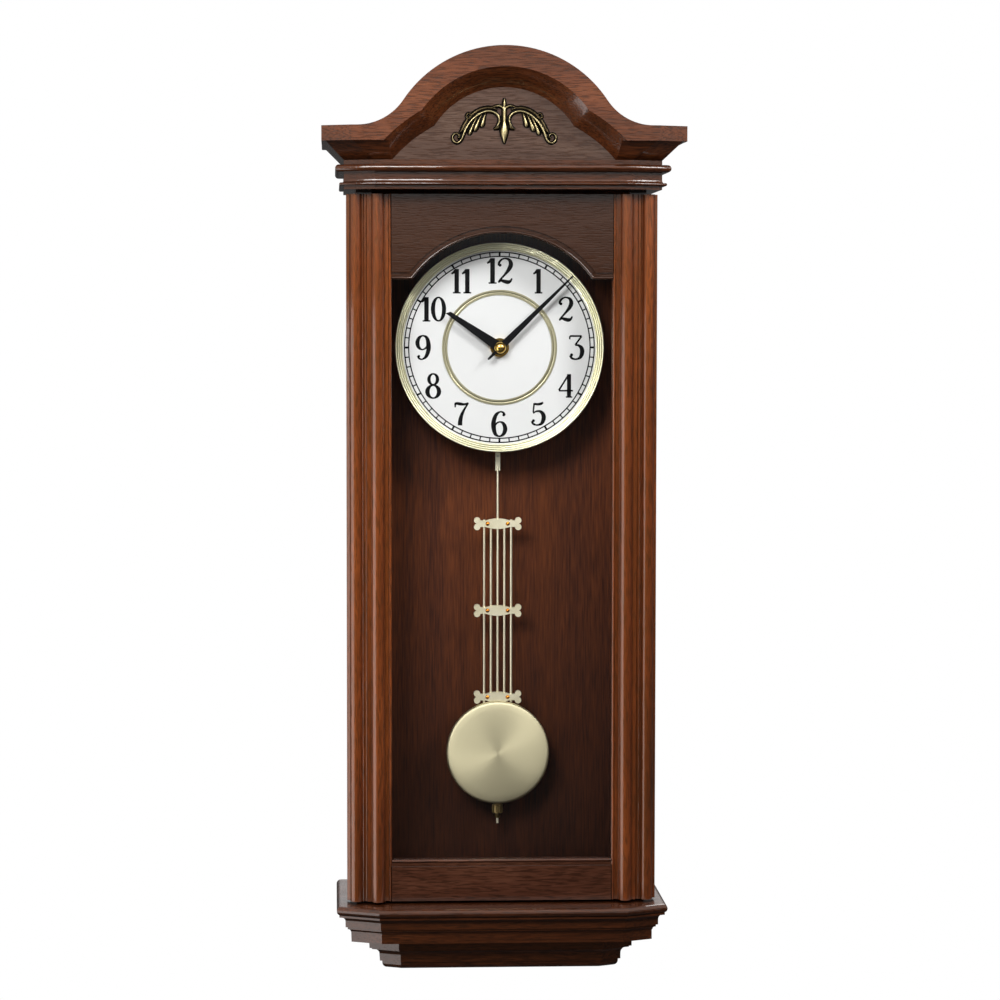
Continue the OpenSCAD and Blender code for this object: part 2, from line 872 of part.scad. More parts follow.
knuckle_off = 0.7;       // gap between the knuckles and the side panel
knuckle_in = 0.6;        // gap between the knuckles and the door's back
hinge_x = case_half + knuckle_r + knuckle_off;
hinge_y = door_back - knuckle_r - knuckle_in;
hinge_zs = [door_z + hinge_end, door_top - hinge_end];
knuckle_h = hinge_h / 3;

module knuckle(z0, z1, bore_r) {
  difference() {
    translate([hinge_x, -hinge_y, z0]) cylinder(h = z1 - z0, r = knuckle_r);
    translate([hinge_x, -hinge_y, z0 - cut]) cylinder(h = z1 - z0 + 2 * cut, r = bore_r);
  }
}

module case_hinge_leaves() {
  color(brass) hung() for (z = hinge_zs) difference() {
    union() {
      board(case_half, case_half + leaf_t, hinge_y - leaf_l, hinge_y,
            z - hinge_h / 2, z + hinge_h / 2);
      for (end = [-1, 1])
        translate([hinge_x, -hinge_y, z + end * knuckle_h])
          cylinder(h = knuckle_h - free_gap, r = knuckle_r, center = true);
    }
    translate([hinge_x, -hinge_y, z]) {
      cylinder(h = hinge_h + 2 * cut, r = hinge_pin_r, center = true);
      cylinder(h = knuckle_h + free_gap, r = knuckle_r + free_gap, center = true);
    }
  }
}

module hinge_pins() {
  head_t = 1.2;
  head_over = 0.6;
  color(brass) hung() for (z = hinge_zs) {
    translate([hinge_x, -hinge_y, z]) cylinder(h = hinge_h, r = hinge_pin_r, center = true);
    for (end = [-1, 1])
      translate([hinge_x, -hinge_y, z + end * (hinge_h + head_t - free_gap) / 2])
        cylinder(h = head_t, r = hinge_pin_r + head_over, center = true);
  }
}

strike_w = 9;
strike_t = 1.2;
catch_z = (door_z + door_top) / 2;

// Door leaves of both hinges and the catch's striking plate, all let in flush
module door_hardware() {
  color(brass) hung() {
    for (z = hinge_zs) difference() {
      union() {
        board(hinge_x - leaf_l, hinge_x + knuckle_r, door_back, door_back + leaf_t,
              z - hinge_h / 2, z + hinge_h / 2);
        board(hinge_x + knuckle_r - leaf_t, hinge_x + knuckle_r, hinge_y, door_back,
              z - knuckle_h / 2, z + knuckle_h / 2);
        translate([hinge_x, -hinge_y, z]) cylinder(h = knuckle_h, r = knuckle_r, center = true);
      }
      translate([hinge_x, -hinge_y, z])
        cylinder(h = knuckle_h + 2 * cut, r = hinge_pin_r + run_fit, center = true);
    }
    board(-side_in, -side_in + strike_w, door_back, door_back + strike_t,
          catch_z - catch_h / 2, catch_z + catch_h / 2);
  }
}

module door_catch() {
  catch_d = 12;
  color(steel) hung() board(-side_in, -side_in + strike_w, case_d - catch_d, case_d,
                            catch_z - catch_h / 2, catch_z + catch_h / 2);
}

// Dial and what carries it

module dial_board() {
  color(wood_dark) hung() difference() {
    stud(0, dial_z, board_back, board_t, board_d / 2);
    stud(0, dial_z, board_back - cut, board_t + 2 * cut, bush_r + run_fit);
    at_posts() {
      translate([0, 0, board_back - cut]) cylinder(h = board_t + 2 * cut, r = screw_r);
      translate([0, 0, board_front - post_head_t])
        cylinder(h = post_head_t + cut, r = post_head_r);
    }
  }
}

post_head_r = 3;
post_head_t = 1.6;
post_screw_l = 12;
dial_lap = 1;            // how far the bezel laps over the dial plate

module at_posts() {
  for (x = [-post_at, post_at], z = [-post_at, post_at])
    translate([x, 0, dial_z + z]) rotate([90, 0, 0]) children();
}

module spacer_posts() {
  color(brass) hung() at_posts() difference() {
    translate([0, 0, panel_front]) cylinder(h = board_back - panel_front, r = post_r);
    translate([0, 0, board_front - post_screw_l]) cylinder(h = post_screw_l, r = screw_r);
  }
}

module board_screws() {
  shank_back = board_front - post_screw_l;
  color(steel) hung() at_posts() {
    translate([0, 0, board_front - post_head_t]) cylinder(h = post_head_t, r = post_head_r);
    translate([0, 0, shank_back]) cylinder(h = post_screw_l - post_head_t, r = screw_r);
  }
}

module dial_plate() {
  color("#e8eaea") hung() difference() {
    stud(0, dial_z, board_front, dial_t, dial_r - bezel_w + dial_lap);
    stud(0, dial_z, board_front - cut, dial_t + 2 * cut, bush_r + run_fit);
  }
}

module dial_bezel() {
  rim_d = 3;             // how far the rim runs back past the dial plate
  ridge_r = 0.75;
  ridge_step = 0.35;     // how much each ridge stands out past the one inside it
  crown = 0.7;           // how far the outer half stands up between the ridges
  ridges = 4;
  rim_back = board_front - rim_d;
  rise = dial_out + ridge_r;
  inner = dial_r - bezel_w;
  color("#c9caa0") hung() translate([0, 0, dial_z]) rotate([90, 0, 0]) rotate_extrude() {
    translate([inner + dial_lap, rim_back]) square([bezel_w - dial_lap, rise - rim_back]);
    translate([inner, dial_out]) square([bezel_w, rise - dial_out]);
    for (i = [0:ridges - 1])
      translate([inner + ridge_r + i * (bezel_w - 2 * ridge_r) / (ridges - 1),
                 rise + ridge_step * i])
        circle(r = ridge_r);
    translate([dial_r - bezel_w / 2, rise]) square([bezel_w / 2, crown]);
  }
}

module dial_inner_ring() {
  ring_t = 0.5;
  hollow_r = 1;
  hollow_up = 1.2;
  color("#c9caa0") hung() translate([0, 0, dial_z]) rotate([90, 0, 0])
    rotate_extrude() difference() {
      translate([ring_r - ring_w / 2, dial_out]) square([ring_w, ring_t]);
      translate([ring_r, dial_out + hollow_up]) circle(r = hollow_r);
    }
}

// Movement: two shells, with the wheels on arbors that are square to the dial

module housing_outline(grow) {
  translate([-move_w / 2 - grow, dial_z - move_down - grow])
    square([move_w + 2 * grow, move_down + move_up + 2 * grow]);
}

lever_y = split - 5;     // distance from the wall to the lever's back
lever_t = 2;
pivot_z = dial_z - pivot_drop;
pivot_r = 1;
boss_r = 2.5;
slot_half = 8.4;         // half width of the gap that the lever swings in
lever_top = 5;
motion_x = -wheel_gap;
motion_pin_r = 0.7;
pin_root_r = 1.6;        // thicker root of the pin that the motion wheel turns on
pin_root_l = 1.2;
stem_r = 1.2;            // radius of the setting knob's stem
arbor_end_r = 1;         // radius of the minute arbor's back end
blind = 0.6;             // depth that stays closed behind a bearing's bore
knob_a = 210;
knob_x = motion_x + wheel_gap * cos(knob_a);
knob_z = dial_z + wheel_gap * sin(knob_a);
cell_z = dial_z + move_up - move_wall - cell_r - free_gap;
cell_y = split - 1;
inside_front = move_front - move_wall;
inside_back = move_back + move_wall;

module lever_slot() {
  behind = 1;
  before = 4.4;
  board(-slot_half, slot_half, lever_y - behind, lever_y + lever_t + before,
        dial_z - move_down - cut, dial_z - move_down + move_wall + cut);
}

module movement_front_shell() {
  boss_back = lever_y + lever_t + 1;
  pin_back = wheel_back - 0.4;
  color(plastic) hung() difference() {
    union() {
      difference() {
        facing(split, move_front - split) housing_outline(0);
        facing(split - cut, inside_front - split + cut) housing_outline(-move_wall);
        lever_slot();
      }
      stud(0, pivot_z, boss_back, inside_front - boss_back, boss_r);
      stud(motion_x, dial_z, inside_front - pin_root_l, pin_root_l, pin_root_r);
      stud(motion_x, dial_z, pin_back, inside_front - pin_back, motion_pin_r);
    }
    stud(0, dial_z, split, move_d, bush_r);
    stud(0, pivot_z, lever_y, pivot_front - lever_y + free_gap, pivot_r + run_fit);
  }
}

module movement_back_shell() {
  boss_top = lever_y - blind;
  bearing_l = 3;
  bay_end = 3;           // wall kept at each end of the cell's opening
  bay_lip = 1;           // wall kept over the cell's upper and lower sides
  cell_gap = cell_r + free_gap;
  color(plastic) hung() difference() {
    union() {
      difference() {
        facing(move_back, split - move_back) housing_outline(0);
        facing(inside_back, split) housing_outline(-move_wall);
        board(-move_w / 2 + bay_end, move_w / 2 - bay_end, move_back - cut, inside_back + cut,
              cell_z - cell_gap + bay_lip, cell_z + cell_gap - bay_lip);
        lever_slot();
      }
      stud(0, pivot_z, inside_back, boss_top - inside_back, boss_r);
      stud(0, dial_z, inside_back, bearing_l, boss_r);
    }
    stud(0, pivot_z, inside_back + blind, boss_top, pivot_r + run_fit);
    stud(0, dial_z, inside_back + blind, bearing_l + cut, arbor_end_r + run_fit);
    stud(knob_x, knob_z, move_back - cut, move_d, stem_r + run_fit);
  }
}

module threaded_bush() {
  flange_t = 1;
  flange_over = 0.8;
  past_dial = 3;
  front = dial_out + past_dial;
  color(brass) hung() difference() {
    union() {
      stud(0, dial_z, inside_front, front - inside_front, bush_r);
      stud(0, dial_z, inside_front - flange_t, flange_t, bush_r + flange_over);
    }
    stud(0, dial_z, split, front - split + cut, pipe_r + run_fit);
  }
}

module dial_nut() {
  dial_nut_t = 2.2;
  color(brass) hung() difference() {
    stud(0, dial_z, dial_out, dial_nut_t, nut_r);
    stud(0, dial_z, dial_out - cut, dial_nut_t + 2 * cut, bush_r);
  }
}

tooth_root = 1.25;       // depth of a tooth inside the pitch circle, in modules
tooth_tip = 0.85;        // height of a tooth outside the pitch circle, in modules

// Gear wheels with plain tapered teeth, thinned so that they mesh with backlash
module gear(teeth, pitch_m, thick) {
  pitch = 360 / teeth;
  root_r = pitch_m * (teeth / 2 - tooth_root);
  tip_r = pitch_m * (teeth / 2 + tooth_tip);
  root_half = 0.27;
  tip_half = 0.1;
  tooth = [[-root_half, root_r], [-tip_half, tip_r], [tip_half, tip_r], [root_half, root_r]];
  linear_extrude(height = thick) polygon([
    for (i = [0:teeth - 1], p = tooth)
      [p[1] * cos((i + p[0]) * pitch), p[1] * sin((i + p[0]) * pitch)]
  ]);
}

cannon_teeth = 12;
motion_teeth = 36;
leaf_teeth = 10;
hour_teeth = 40;
knob_teeth = 12;
drive_teeth = 56;
drive_leaves = 8;
m_cannon = 2 * wheel_gap / (cannon_teeth + motion_teeth);
m_hour = 2 * wheel_gap / (leaf_teeth + hour_teeth);
m_drive = 0.4;
drive_gap = m_drive * (drive_teeth + drive_leaves) / 2;
drive_a = -60;
drive_x = drive_gap * cos(drive_a);
drive_z = dial_z + drive_gap * sin(drive_a);
wheel_t = 1;
wheel_front = inside_front - 1.4;        // front face of the hour wheel
wheel_mid = wheel_front - 2.2;           // front face of the motion wheel
wheel_back = wheel_mid - wheel_t;        // back face of the motion wheel
drive_front = wheel_back - 1;            // front face of the drive wheel
drive_back = drive_front - wheel_t;      // back face of the drive wheel

// Turns a gear to face the front, with its front face at the given distance from the wall
module wheel(x, z, front, teeth, pitch_m, turn) {
  translate([x, -front, z]) rotate([-90, 0, 0]) rotate([0, 0, turn])
    gear(teeth, pitch_m, wheel_t);
}

module minute_arbor() {
  end_back = inside_back + blind;
  color(brass) hung() {
    stud(0, dial_z, end_back, drive_back - end_back, arbor_end_r);
    stud(0, dial_z, drive_back, hand_top - drive_back, arbor_r);
    wheel(0, dial_z, wheel_mid, cannon_teeth, m_cannon, 0);
    wheel(0, dial_z, drive_front, drive_teeth, m_drive, -drive_a + 180 / drive_teeth);
  }
}

module motion_wheel() {
  leaf_r = m_hour * (leaf_teeth / 2 - tooth_root);
  color("white") hung() difference() {
    union() {
      wheel(motion_x, dial_z, wheel_mid, motion_teeth, m_cannon, 180 / motion_teeth);
      stud(motion_x, dial_z, wheel_mid, wheel_front - wheel_mid - wheel_t, leaf_r);
      wheel(motion_x, dial_z, wheel_front, leaf_teeth, m_hour, 0);
    }
    stud(motion_x, dial_z, wheel_back - cut, wheel_front - wheel_back + 2 * cut,
         motion_pin_r + run_fit);
  }
}

module hour_wheel() {
  color("white") hung() difference() {
    union() {
      wheel(0, dial_z, wheel_front, hour_teeth, m_hour, 180 / hour_teeth);
      stud(0, dial_z, wheel_front - wheel_t, hour_front - wheel_front + wheel_t, pipe_r);
    }
    stud(0, dial_z, wheel_back, hour_front - wheel_back + cut, arbor_r + run_fit);
  }
}

module setting_knob() {
  knob_back = move_back - 0.6;
  knob_t = 6;
  grips = 18;
  grip_r = 0.55;
  grip_out = 0.25;
  color(plastic) hung() {
    stud(knob_x, knob_z, knob_back, wheel_mid - knob_back, stem_r);
    wheel(knob_x, knob_z, wheel_mid, knob_teeth, m_cannon, -knob_a);
    translate([knob_x, -knob_back, knob_z]) rotate([-90, 0, 0]) difference() {
      cylinder(h = knob_t, r = knob_r);
      for (i = [0:grips - 1])
        rotate([0, 0, 360 / grips * i]) translate([knob_r + grip_out, 0, -cut])
          cylinder(h = knob_t + 2 * cut, r = grip_r);
    }
  }
}

unit_front = drive_back - 0.8;
drive_pin_r = 0.7;
drive_pin_in = 1.5;      // how far the drive pinion's pin runs into the unit

module drive_pinion() {
  pin_back = unit_front - drive_pin_in;
  color(brass) hung() {
    stud(drive_x, drive_z, pin_back, drive_front - pin_back, drive_pin_r);
    wheel(drive_x, drive_z, drive_front, drive_leaves, m_drive, -drive_a + 180);
  }
}

boss_play = 0.8;         // gap between the unit and the boss beside it

// Closed capsule of the stepping motor and its fast wheels
module drive_unit() {
  unit_w = 24;
  unit_h = 15;
  off_x = 4;             // the unit reaches further right and up than left and down
  below = 5;
  left = drive_x + off_x - unit_w / 2;
  low = drive_z - below;
  bore_back = unit_front - drive_pin_in - free_gap;
  color("#d8d2c0") hung() difference() {
    board(left, left + unit_w, inside_back, unit_front, low, low + unit_h);
    stud(drive_x, drive_z, bore_back, unit_front - bore_back + cut, drive_pin_r + run_fit);
    stud(0, dial_z, inside_back - cut, move_d, boss_r + boss_play);
  }
}

module cell() {
  cap_h = 1.2;
  cap_w = 2.7;
  color("#4a5a4a") hung() translate([-cell_l / 2, -cell_y, cell_z]) rotate([0, 90, 0]) {
    cylinder(h = cell_l - cap_h, r = cell_r);
    cylinder(h = cell_l, r = cap_w);
  }
}

module cell_contacts() {
  contact_t = 0.4;
  contact_half = 5;
  spring_r = 3.4;
  spring_tip_r = 2.2;
  half = cell_l / 2;
  seat = move_w / 2 - move_wall;
  color(steel) hung() for (side = [-1, 1]) {
    board(side * seat - contact_t / 2 * (side + 1), side * seat - contact_t / 2 * (side - 1),
          cell_y - contact_half, cell_y + contact_half, cell_z - contact_half,
          cell_z + contact_half);
    translate([side * half, -cell_y, cell_z]) rotate([0, side * 90, 0])
      cylinder(h = seat - half - contact_t, r1 = spring_tip_r, r2 = spring_r);
  }
}

magnet_z = pivot_z - 14;
magnet_r = 4;
magnet_t = 2.4;
coil_y = lever_y + lever_t + magnet_t + 0.6;
coil_r = 8;
coil_t = 3;
core_r = 3;

module pendulum_coil() {
  color("#9a4a20") hung() {
    stud(0, magnet_z, coil_y, coil_t, coil_r);
    stud(0, magnet_z, coil_y + coil_t, inside_front - coil_y - coil_t, core_r);
  }
}

// Hands, drawn pointing to twelve

hour_front = dial_out + 5.6;
minute_front = hour_front + 2.4;
hand_top = minute_front; // the minute arbor ends flush with its hand

module at_hand(back, angle) {
  translate([0, -back, dial_z]) rotate([90, 0, 0]) rotate([0, 0, -angle]) children();
}

module hour_hand() {
  hub_r = 4.9;
  root = 3.2;
  root_half = 3.6;
  tip_half = 1.45;
  slant = 2.4;
  color("#12121c") hung() difference() {
    at_hand(hour_front - hand_t, hour_angle) {
      cylinder(h = hand_t, r = hub_r);
      linear_extrude(height = hand_t)
        polygon([[-root_half, root], [-tip_half, hour_l], [tip_half, hour_l - slant],
                 [root_half, root]]);
    }
    stud(0, dial_z, hour_front - 2 * hand_t, 4 * hand_t, pipe_r);
  }
}

module minute_hand() {
  hub_r = 3.4;
  root = 1.6;
  root_half = 2.5;
  tip_half = 0.6;
  tail_half = 1.5;
  end_r = 0.75;
  end = end_r - minute_tail;
  color("#12121c") hung() difference() {
    at_hand(minute_front - hand_t, minute_angle) {
      cylinder(h = hand_t, r = hub_r);
      linear_extrude(height = hand_t)
        polygon([[-root_half, root], [-tip_half, minute_l], [tip_half, minute_l],
                 [root_half, root]]);
      linear_extrude(height = hand_t)
        polygon([[-tail_half, 0], [tail_half, 0], [end_r, end], [-end_r, end]]);
      translate([0, end, 0]) cylinder(h = hand_t, r = end_r);
    }
    stud(0, dial_z, minute_front - 2 * hand_t, 4 * hand_t, arbor_r);
  }
}

module hand_cap() {
  cap_h = 2.6;
  skirt = 0.8;
  ball_r = (pow(cap_r, 2) + pow(cap_h, 2)) / (2 * cap_h);
  color(brass) hung() translate([0, -minute_front, dial_z]) rotate([90, 0, 0]) {
    cylinder(h = skirt, r = cap_r);
    translate([0, 0, skirt]) rotate_extrude() intersection() {
      translate([0, cap_h - ball_r]) circle(r = ball_r);
      square([cap_r, cap_h]);
    }
  }
}

// Pendulum, hung from the movement's lever

hook_z = pivot_z - hook_drop;
upper_z = hook_z - upper_drop;
middle_z = upper_z - plate_pitch;
lower_z = middle_z - plate_pitch;
bob_z = lower_z - bob_drop;
pivot_front = lever_y + lever_t + 3.5;        // front end of the lever's pivot pin
hook_t = 1.2;
hook_y = lever_y + lever_t + 0.2;             // distance from the wall to the hook plate's back
rod_y = hook_y + hook_t / 2;
bob_seat = rod_y + plate_t / 2 + free_gap;    // distance from the wall to the bob's back
nut_top = bob_z - bob_r - 1.5;
nut_z = nut_top - rating_h;
tip_z = nut_z - 4;

module pendulum_lever() {
  neck_half = 1.4;
  pad_half = 4;          // half width of the wide part that carries the magnet
  foot = 2;              // how far the neck runs below the carrying pin
  pin_r = 0.7;
  pin_past = 0.8;
  pivot_back = inside_back + 0.9;
  color(plastic) hung() {
    facing(lever_y, lever_t) {
      translate([0, pivot_z]) circle(r = lever_top);
      translate([-pad_half, magnet_z - pad_half])
        square([2 * pad_half, pivot_z - magnet_z + pad_half]);
      translate([-neck_half, hook_z - foot]) square([2 * neck_half, magnet_z - hook_z]);
    }
    stud(0, pivot_z, pivot_back, pivot_front - pivot_back, pivot_r);
    stud(0, hook_z, lever_y + lever_t, hook_t + pin_past, pin_r);
  }
}

module lever_magnet() {
  color(steel) hung() stud(0, magnet_z, lever_y + lever_t, magnet_t, magnet_r);
}

module pendulum_hook() {
  wide = 3.4;
  foot = 10.5;
  head = 2.4;
  eye_r = 0.8;
  root = 3;              // how far the rod runs up into the hook plate
  color(brass) hung() {
    facing(hook_y, hook_t) difference() {
      translate([-wide / 2, hook_z - foot]) square([wide, foot + head]);
      translate([0, hook_z]) circle(r = eye_r);
    }
    translate([0, -rod_y, upper_z]) cylinder(h = hook_z - foot + root - upper_z, r = rod_r);
  }
}

module rod_bores() {
  bore_l = 4 * (lobe_r + cut);
  for (i = [-2:2])
    translate([i * rod_pitch, -rod_y, -bore_l / 2]) cylinder(h = bore_l, r = rod_r);
}

rivet_x = rod_pitch * 1.5;
rivet_r = 1;

// A plate with an oval middle and a pair of lobes at each end
module plate_outline() {
  oval_h = 7.6;
  oval_w = plate_w - 7;
  oval_r = (pow(oval_w / 2, 2) + pow(oval_h / 2, 2)) / oval_h;
  bar_h = 4.7;
  lobe_x = plate_w / 2 - lobe_r;
  lobe_gap = 0.1;        // half the gap between the two lobes of a pair
  neck_w = 2.1 * lobe_r;
  neck_x = lobe_x - 0.75 * lobe_r;
  intersection() {
    translate([0, oval_r - oval_h / 2]) circle(r = oval_r);
    translate([0, oval_h / 2 - oval_r]) circle(r = oval_r);
  }
  square([2 * lobe_x - lobe_r, bar_h], center = true);
  for (side = [-1, 1], up = [-1, 1])
    translate([side * lobe_x, up * (lobe_r + lobe_gap)]) circle(r = lobe_r);
  for (side = [-1, 1])
    translate([side * neck_x, 0]) square([neck_w, 2 * lobe_r], center = true);
}

module grid_plate(z) {
  color(brass) hung() translate([0, 0, z]) difference() {
    translate([0, -rod_y + plate_t / 2, 0]) rotate([90, 0, 0])
      linear_extrude(height = plate_t) plate_outline();
    rod_bores();
    for (side = [-1, 1])
      stud(side * rivet_x, 0, 0, rod_y + plate_t, rivet_r);
  }
}

module upper_plate() {
  grid_plate(upper_z);
}

module middle_plate() {
  grid_plate(middle_z);
}

module lower_plate() {
  grid_plate(lower_z);
}

module plate_rivets() {
  head_r = 1.5;
  head_h = 0.9;
  ball_r = (pow(head_r, 2) + pow(head_h, 2)) / (2 * head_h);
  color("#c08a3e") hung() for (z = [upper_z, middle_z, lower_z], side = [-1, 1]) {
    stud(side * rivet_x, z, rod_y - plate_t / 2, plate_t, rivet_r);
    translate([side * rivet_x, -rod_y - plate_t / 2, z]) rotate([90, 0, 0])
      rotate_extrude() intersection() {
        translate([0, head_h - ball_r]) circle(r = ball_r);
        square([head_r, head_h]);
      }
  }
}

tail_l = 14;             // how far the outer rods run down behind the bob
stub_l = 3;              // how far the other rods run past the plates

module grid_rods() {
  color(brass) hung() for (i = [-2, -1, 1, 2]) {
    low = lower_z - (abs(i) == 2 ? tail_l : stub_l);
    translate([i * rod_pitch, -rod_y, low]) cylinder(h = upper_z + stub_l - low, r = rod_r);
  }
}

module center_rod() {
  color(brass) hung() translate([0, -rod_y, tip_z]) cylinder(h = upper_z - tip_z, r = rod_r);
}

bob_rise = 4.6;          // height of the bob's crown
bob_wall = 0.8;
rim_r = 0.9;
disc_t = 1;              // thickness of the bob's flat back

module bob_curve(lift) {
  ball_r = (pow(bob_r, 2) + pow(bob_rise, 2)) / (2 * bob_rise);
  intersection() {
    translate([0, bob_rise - ball_r + lift]) circle(r = ball_r, $fn = 360);
    square([bob_r, bob_rise + cut]);
  }
}

// Spun brass face of the bob, with a rolled rim
module bob_shell() {
  color(brass) hung() translate([0, -bob_seat - disc_t, bob_z]) rotate([90, 0, 0])
    rotate_extrude() {
      difference() {
        bob_curve(0);
        bob_curve(-bob_wall);
      }
      difference() {
        translate([bob_r - rim_r, 0]) circle(r = rim_r);
        translate([0, -2 * rim_r]) square([bob_r, 2 * rim_r]);
      }
    }
}

// Flat back of the bob, with two lugs that slide on the middle rod
module bob_back() {
  lug_h = 6;
  lug_half = 3;
  lug_behind = 2.4;      // how far the lugs reach past the rod's middle
  upper_lug = 16;        // distance from the bob's top down to the upper lug
  disc_in = 0.4;
  nut_play = 0.05;
  color(brass) hung() difference() {
    union() {
      stud(0, bob_z, bob_seat, disc_t, bob_r - disc_in);
      for (z = [bob_z + bob_r - upper_lug, nut_top + nut_play])
        board(-lug_half, lug_half, rod_y - lug_behind, bob_seat + disc_t / 2, z, z + lug_h);
    }
    translate([0, -rod_y, tip_z]) cylinder(h = upper_z - tip_z, r = rod_r + run_fit);
  }
}

// Nut below the bob: turning it raises or lowers the bob
module rating_nut() {
  collar_h = 2.8;
  collar_r = 1.9;
  neck_r = 2.3;
  flare_h = 1;
  flutes = 14;
  flute_r = 0.5;
  flute_out = 0.2;
  head_low = collar_h + flare_h;
  color(brass) hung() translate([0, -rod_y, nut_z]) difference() {
    union() {
      cylinder(h = collar_h, r1 = collar_r, r2 = neck_r);
      translate([0, 0, collar_h]) cylinder(h = flare_h, r1 = neck_r, r2 = rating_r);
      translate([0, 0, head_low]) cylinder(h = rating_h - head_low, r = rating_r);
    }
    translate([0, 0, -cut]) cylinder(h = rating_h + 2 * cut, r = rod_r + run_fit);
    for (i = [0:flutes - 1])
      rotate([0, 0, 360 / flutes * i]) translate([rating_r + flute_out, 0, collar_h])
        cylinder(h = rating_h, r = flute_r);
  }
}

back_panel();
side_panel_left();
side_panel_right();
floor_board();
top_board();
base_plinth();
base_ledge();
cornice();
hood_fascia();
hood_side_left();
hood_side_right();
hood_dust_board();
hood_inner_panel();
pediment_ornament();
hanger_plate();
hanger_screws();
case_hinge_leaves();
hinge_pins();
door_catch();
dial_board();
spacer_posts();
board_screws();
dial_plate();
dial_bezel();
dial_inner_ring();
movement_front_shell();
movement_back_shell();
threaded_bush();
dial_nut();
drive_unit();
cell();
cell_contacts();
pendulum_coil();
drive_pinion();
minute_arbor();
minute_hand();
hand_cap();
motion_wheel();
hour_wheel();
hour_hand();
setting_knob();
pendulum_lever();
lever_magnet();
pendulum_hook();
grid_rods();
center_rod();
upper_plate();
middle_plate();
lower_plate();
plate_rivets();
bob_shell();
bob_back();
rating_nut();
door_stile_left();
door_stile_right();
door_top_rail();
door_bottom_rail();
door_glass();
glass_strips();
door_hardware();
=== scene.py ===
"""Wall-hung pendulum clock: walnut case, glazed door, white dial, gridiron pendulum.

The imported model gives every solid. This script gives each one its finish, sands the
edges of the woodwork, prints the dial, spins the bob, casts the ornament, and sets up
the light and the camera.
"""
import json
import math

import bmesh
import bpy
from mathutils import Matrix, Vector

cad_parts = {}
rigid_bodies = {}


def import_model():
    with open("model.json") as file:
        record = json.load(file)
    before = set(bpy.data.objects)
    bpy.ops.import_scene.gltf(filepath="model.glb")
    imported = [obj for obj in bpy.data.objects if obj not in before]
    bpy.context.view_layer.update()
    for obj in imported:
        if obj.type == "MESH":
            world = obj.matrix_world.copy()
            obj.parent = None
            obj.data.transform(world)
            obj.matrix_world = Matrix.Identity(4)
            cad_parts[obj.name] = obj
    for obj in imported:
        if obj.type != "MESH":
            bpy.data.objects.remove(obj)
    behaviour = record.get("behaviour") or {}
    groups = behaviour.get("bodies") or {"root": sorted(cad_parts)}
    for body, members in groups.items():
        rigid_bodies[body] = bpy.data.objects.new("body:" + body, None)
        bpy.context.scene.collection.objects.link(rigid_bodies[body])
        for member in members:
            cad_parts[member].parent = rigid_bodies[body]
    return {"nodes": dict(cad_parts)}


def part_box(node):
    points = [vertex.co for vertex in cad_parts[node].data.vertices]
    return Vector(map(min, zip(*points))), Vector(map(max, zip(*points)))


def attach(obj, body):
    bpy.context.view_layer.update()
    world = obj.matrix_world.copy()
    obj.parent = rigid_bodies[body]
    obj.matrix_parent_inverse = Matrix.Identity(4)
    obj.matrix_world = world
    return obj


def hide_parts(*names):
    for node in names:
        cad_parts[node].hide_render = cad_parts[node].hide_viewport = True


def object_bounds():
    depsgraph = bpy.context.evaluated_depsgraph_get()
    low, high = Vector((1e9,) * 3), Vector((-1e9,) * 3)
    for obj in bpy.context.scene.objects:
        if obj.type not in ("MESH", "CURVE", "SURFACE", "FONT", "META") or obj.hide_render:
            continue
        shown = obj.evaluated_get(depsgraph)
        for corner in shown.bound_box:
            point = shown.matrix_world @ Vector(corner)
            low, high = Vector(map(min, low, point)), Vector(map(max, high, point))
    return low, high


for leftover in list(bpy.data.objects):
    bpy.data.objects.remove(leftover)
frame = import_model()
cad_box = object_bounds()
nodes = frame["nodes"]
MM = 0.001

bob_low, bob_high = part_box("bob_shell")
bob_centre = (bob_low + bob_high) / 2
dial_low, dial_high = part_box("dial_bezel")
dial_centre = (dial_low + dial_high) / 2
dial_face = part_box("dial_plate")[0].y
ornament_low, ornament_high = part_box("pediment_ornament")


# Finishes

def linear(code):
    """An sRGB hex colour as the linear RGBA that a socket takes."""
    parts = [int(code[i:i + 2], 16) / 255 for i in (1, 3, 5)]
    return tuple(p / 12.92 if p <= 0.04045 else ((p + 0.055) / 1.055) ** 2.4
                 for p in parts) + (1.0,)


def add(tree, kind, settings=None, inputs=None, stops=()):
    """Adds a node with its settings. An input that is given a socket is linked to it."""
    node = tree.nodes.new(kind)
    for name, value in (settings or {}).items():
        setattr(node, name, value)
    for name, value in (inputs or {}).items():
        if isinstance(value, bpy.types.NodeSocket):
            tree.links.new(value, node.inputs[name])
        else:
            node.inputs[name].default_value = value
    for i, (at, colour) in enumerate(stops):
        bands = node.color_ramp.elements
        band = bands[i] if i < 2 else bands.new(at)
        band.position, band.color = at, colour
    return node


def blank(name):
    """A new material whose node tree is empty, and that tree."""
    material = bpy.data.materials.new(name)
    material.use_nodes = True
    material.node_tree.nodes.clear()
    return material, material.node_tree


def per_mm(size):
    """Texture scale at which one cell of the pattern is this many millimetres."""
    return 1 / (size * MM)


BLACK, WHITE = linear("#000000"), linear("#ffffff")

# A Mix node has sockets of the same name for each kind of value, so they go by number
FACTOR = 0
NUMBER_A, NUMBER_B = 2, 3
VECTOR_A, VECTOR_B, VECTOR_OUT = 4, 5, 1
COLOUR_A, COLOUR_B, COLOUR_OUT = 6, 7, 2

WOOD_DRAWN_OUT = 0.09    # wood figure is some 11 times as long as it is wide
BOARD_DRAWN_OUT = 0.05   # the plain veneer of the boards, 20 times
TURNED_SIDEWAYS = 0.8    # a face whose normal is nearer the side than this is a return
FOOT_PAINTED_SHADE = 0.28        # metres over which the painted shade at the boards' foot fades out upwards
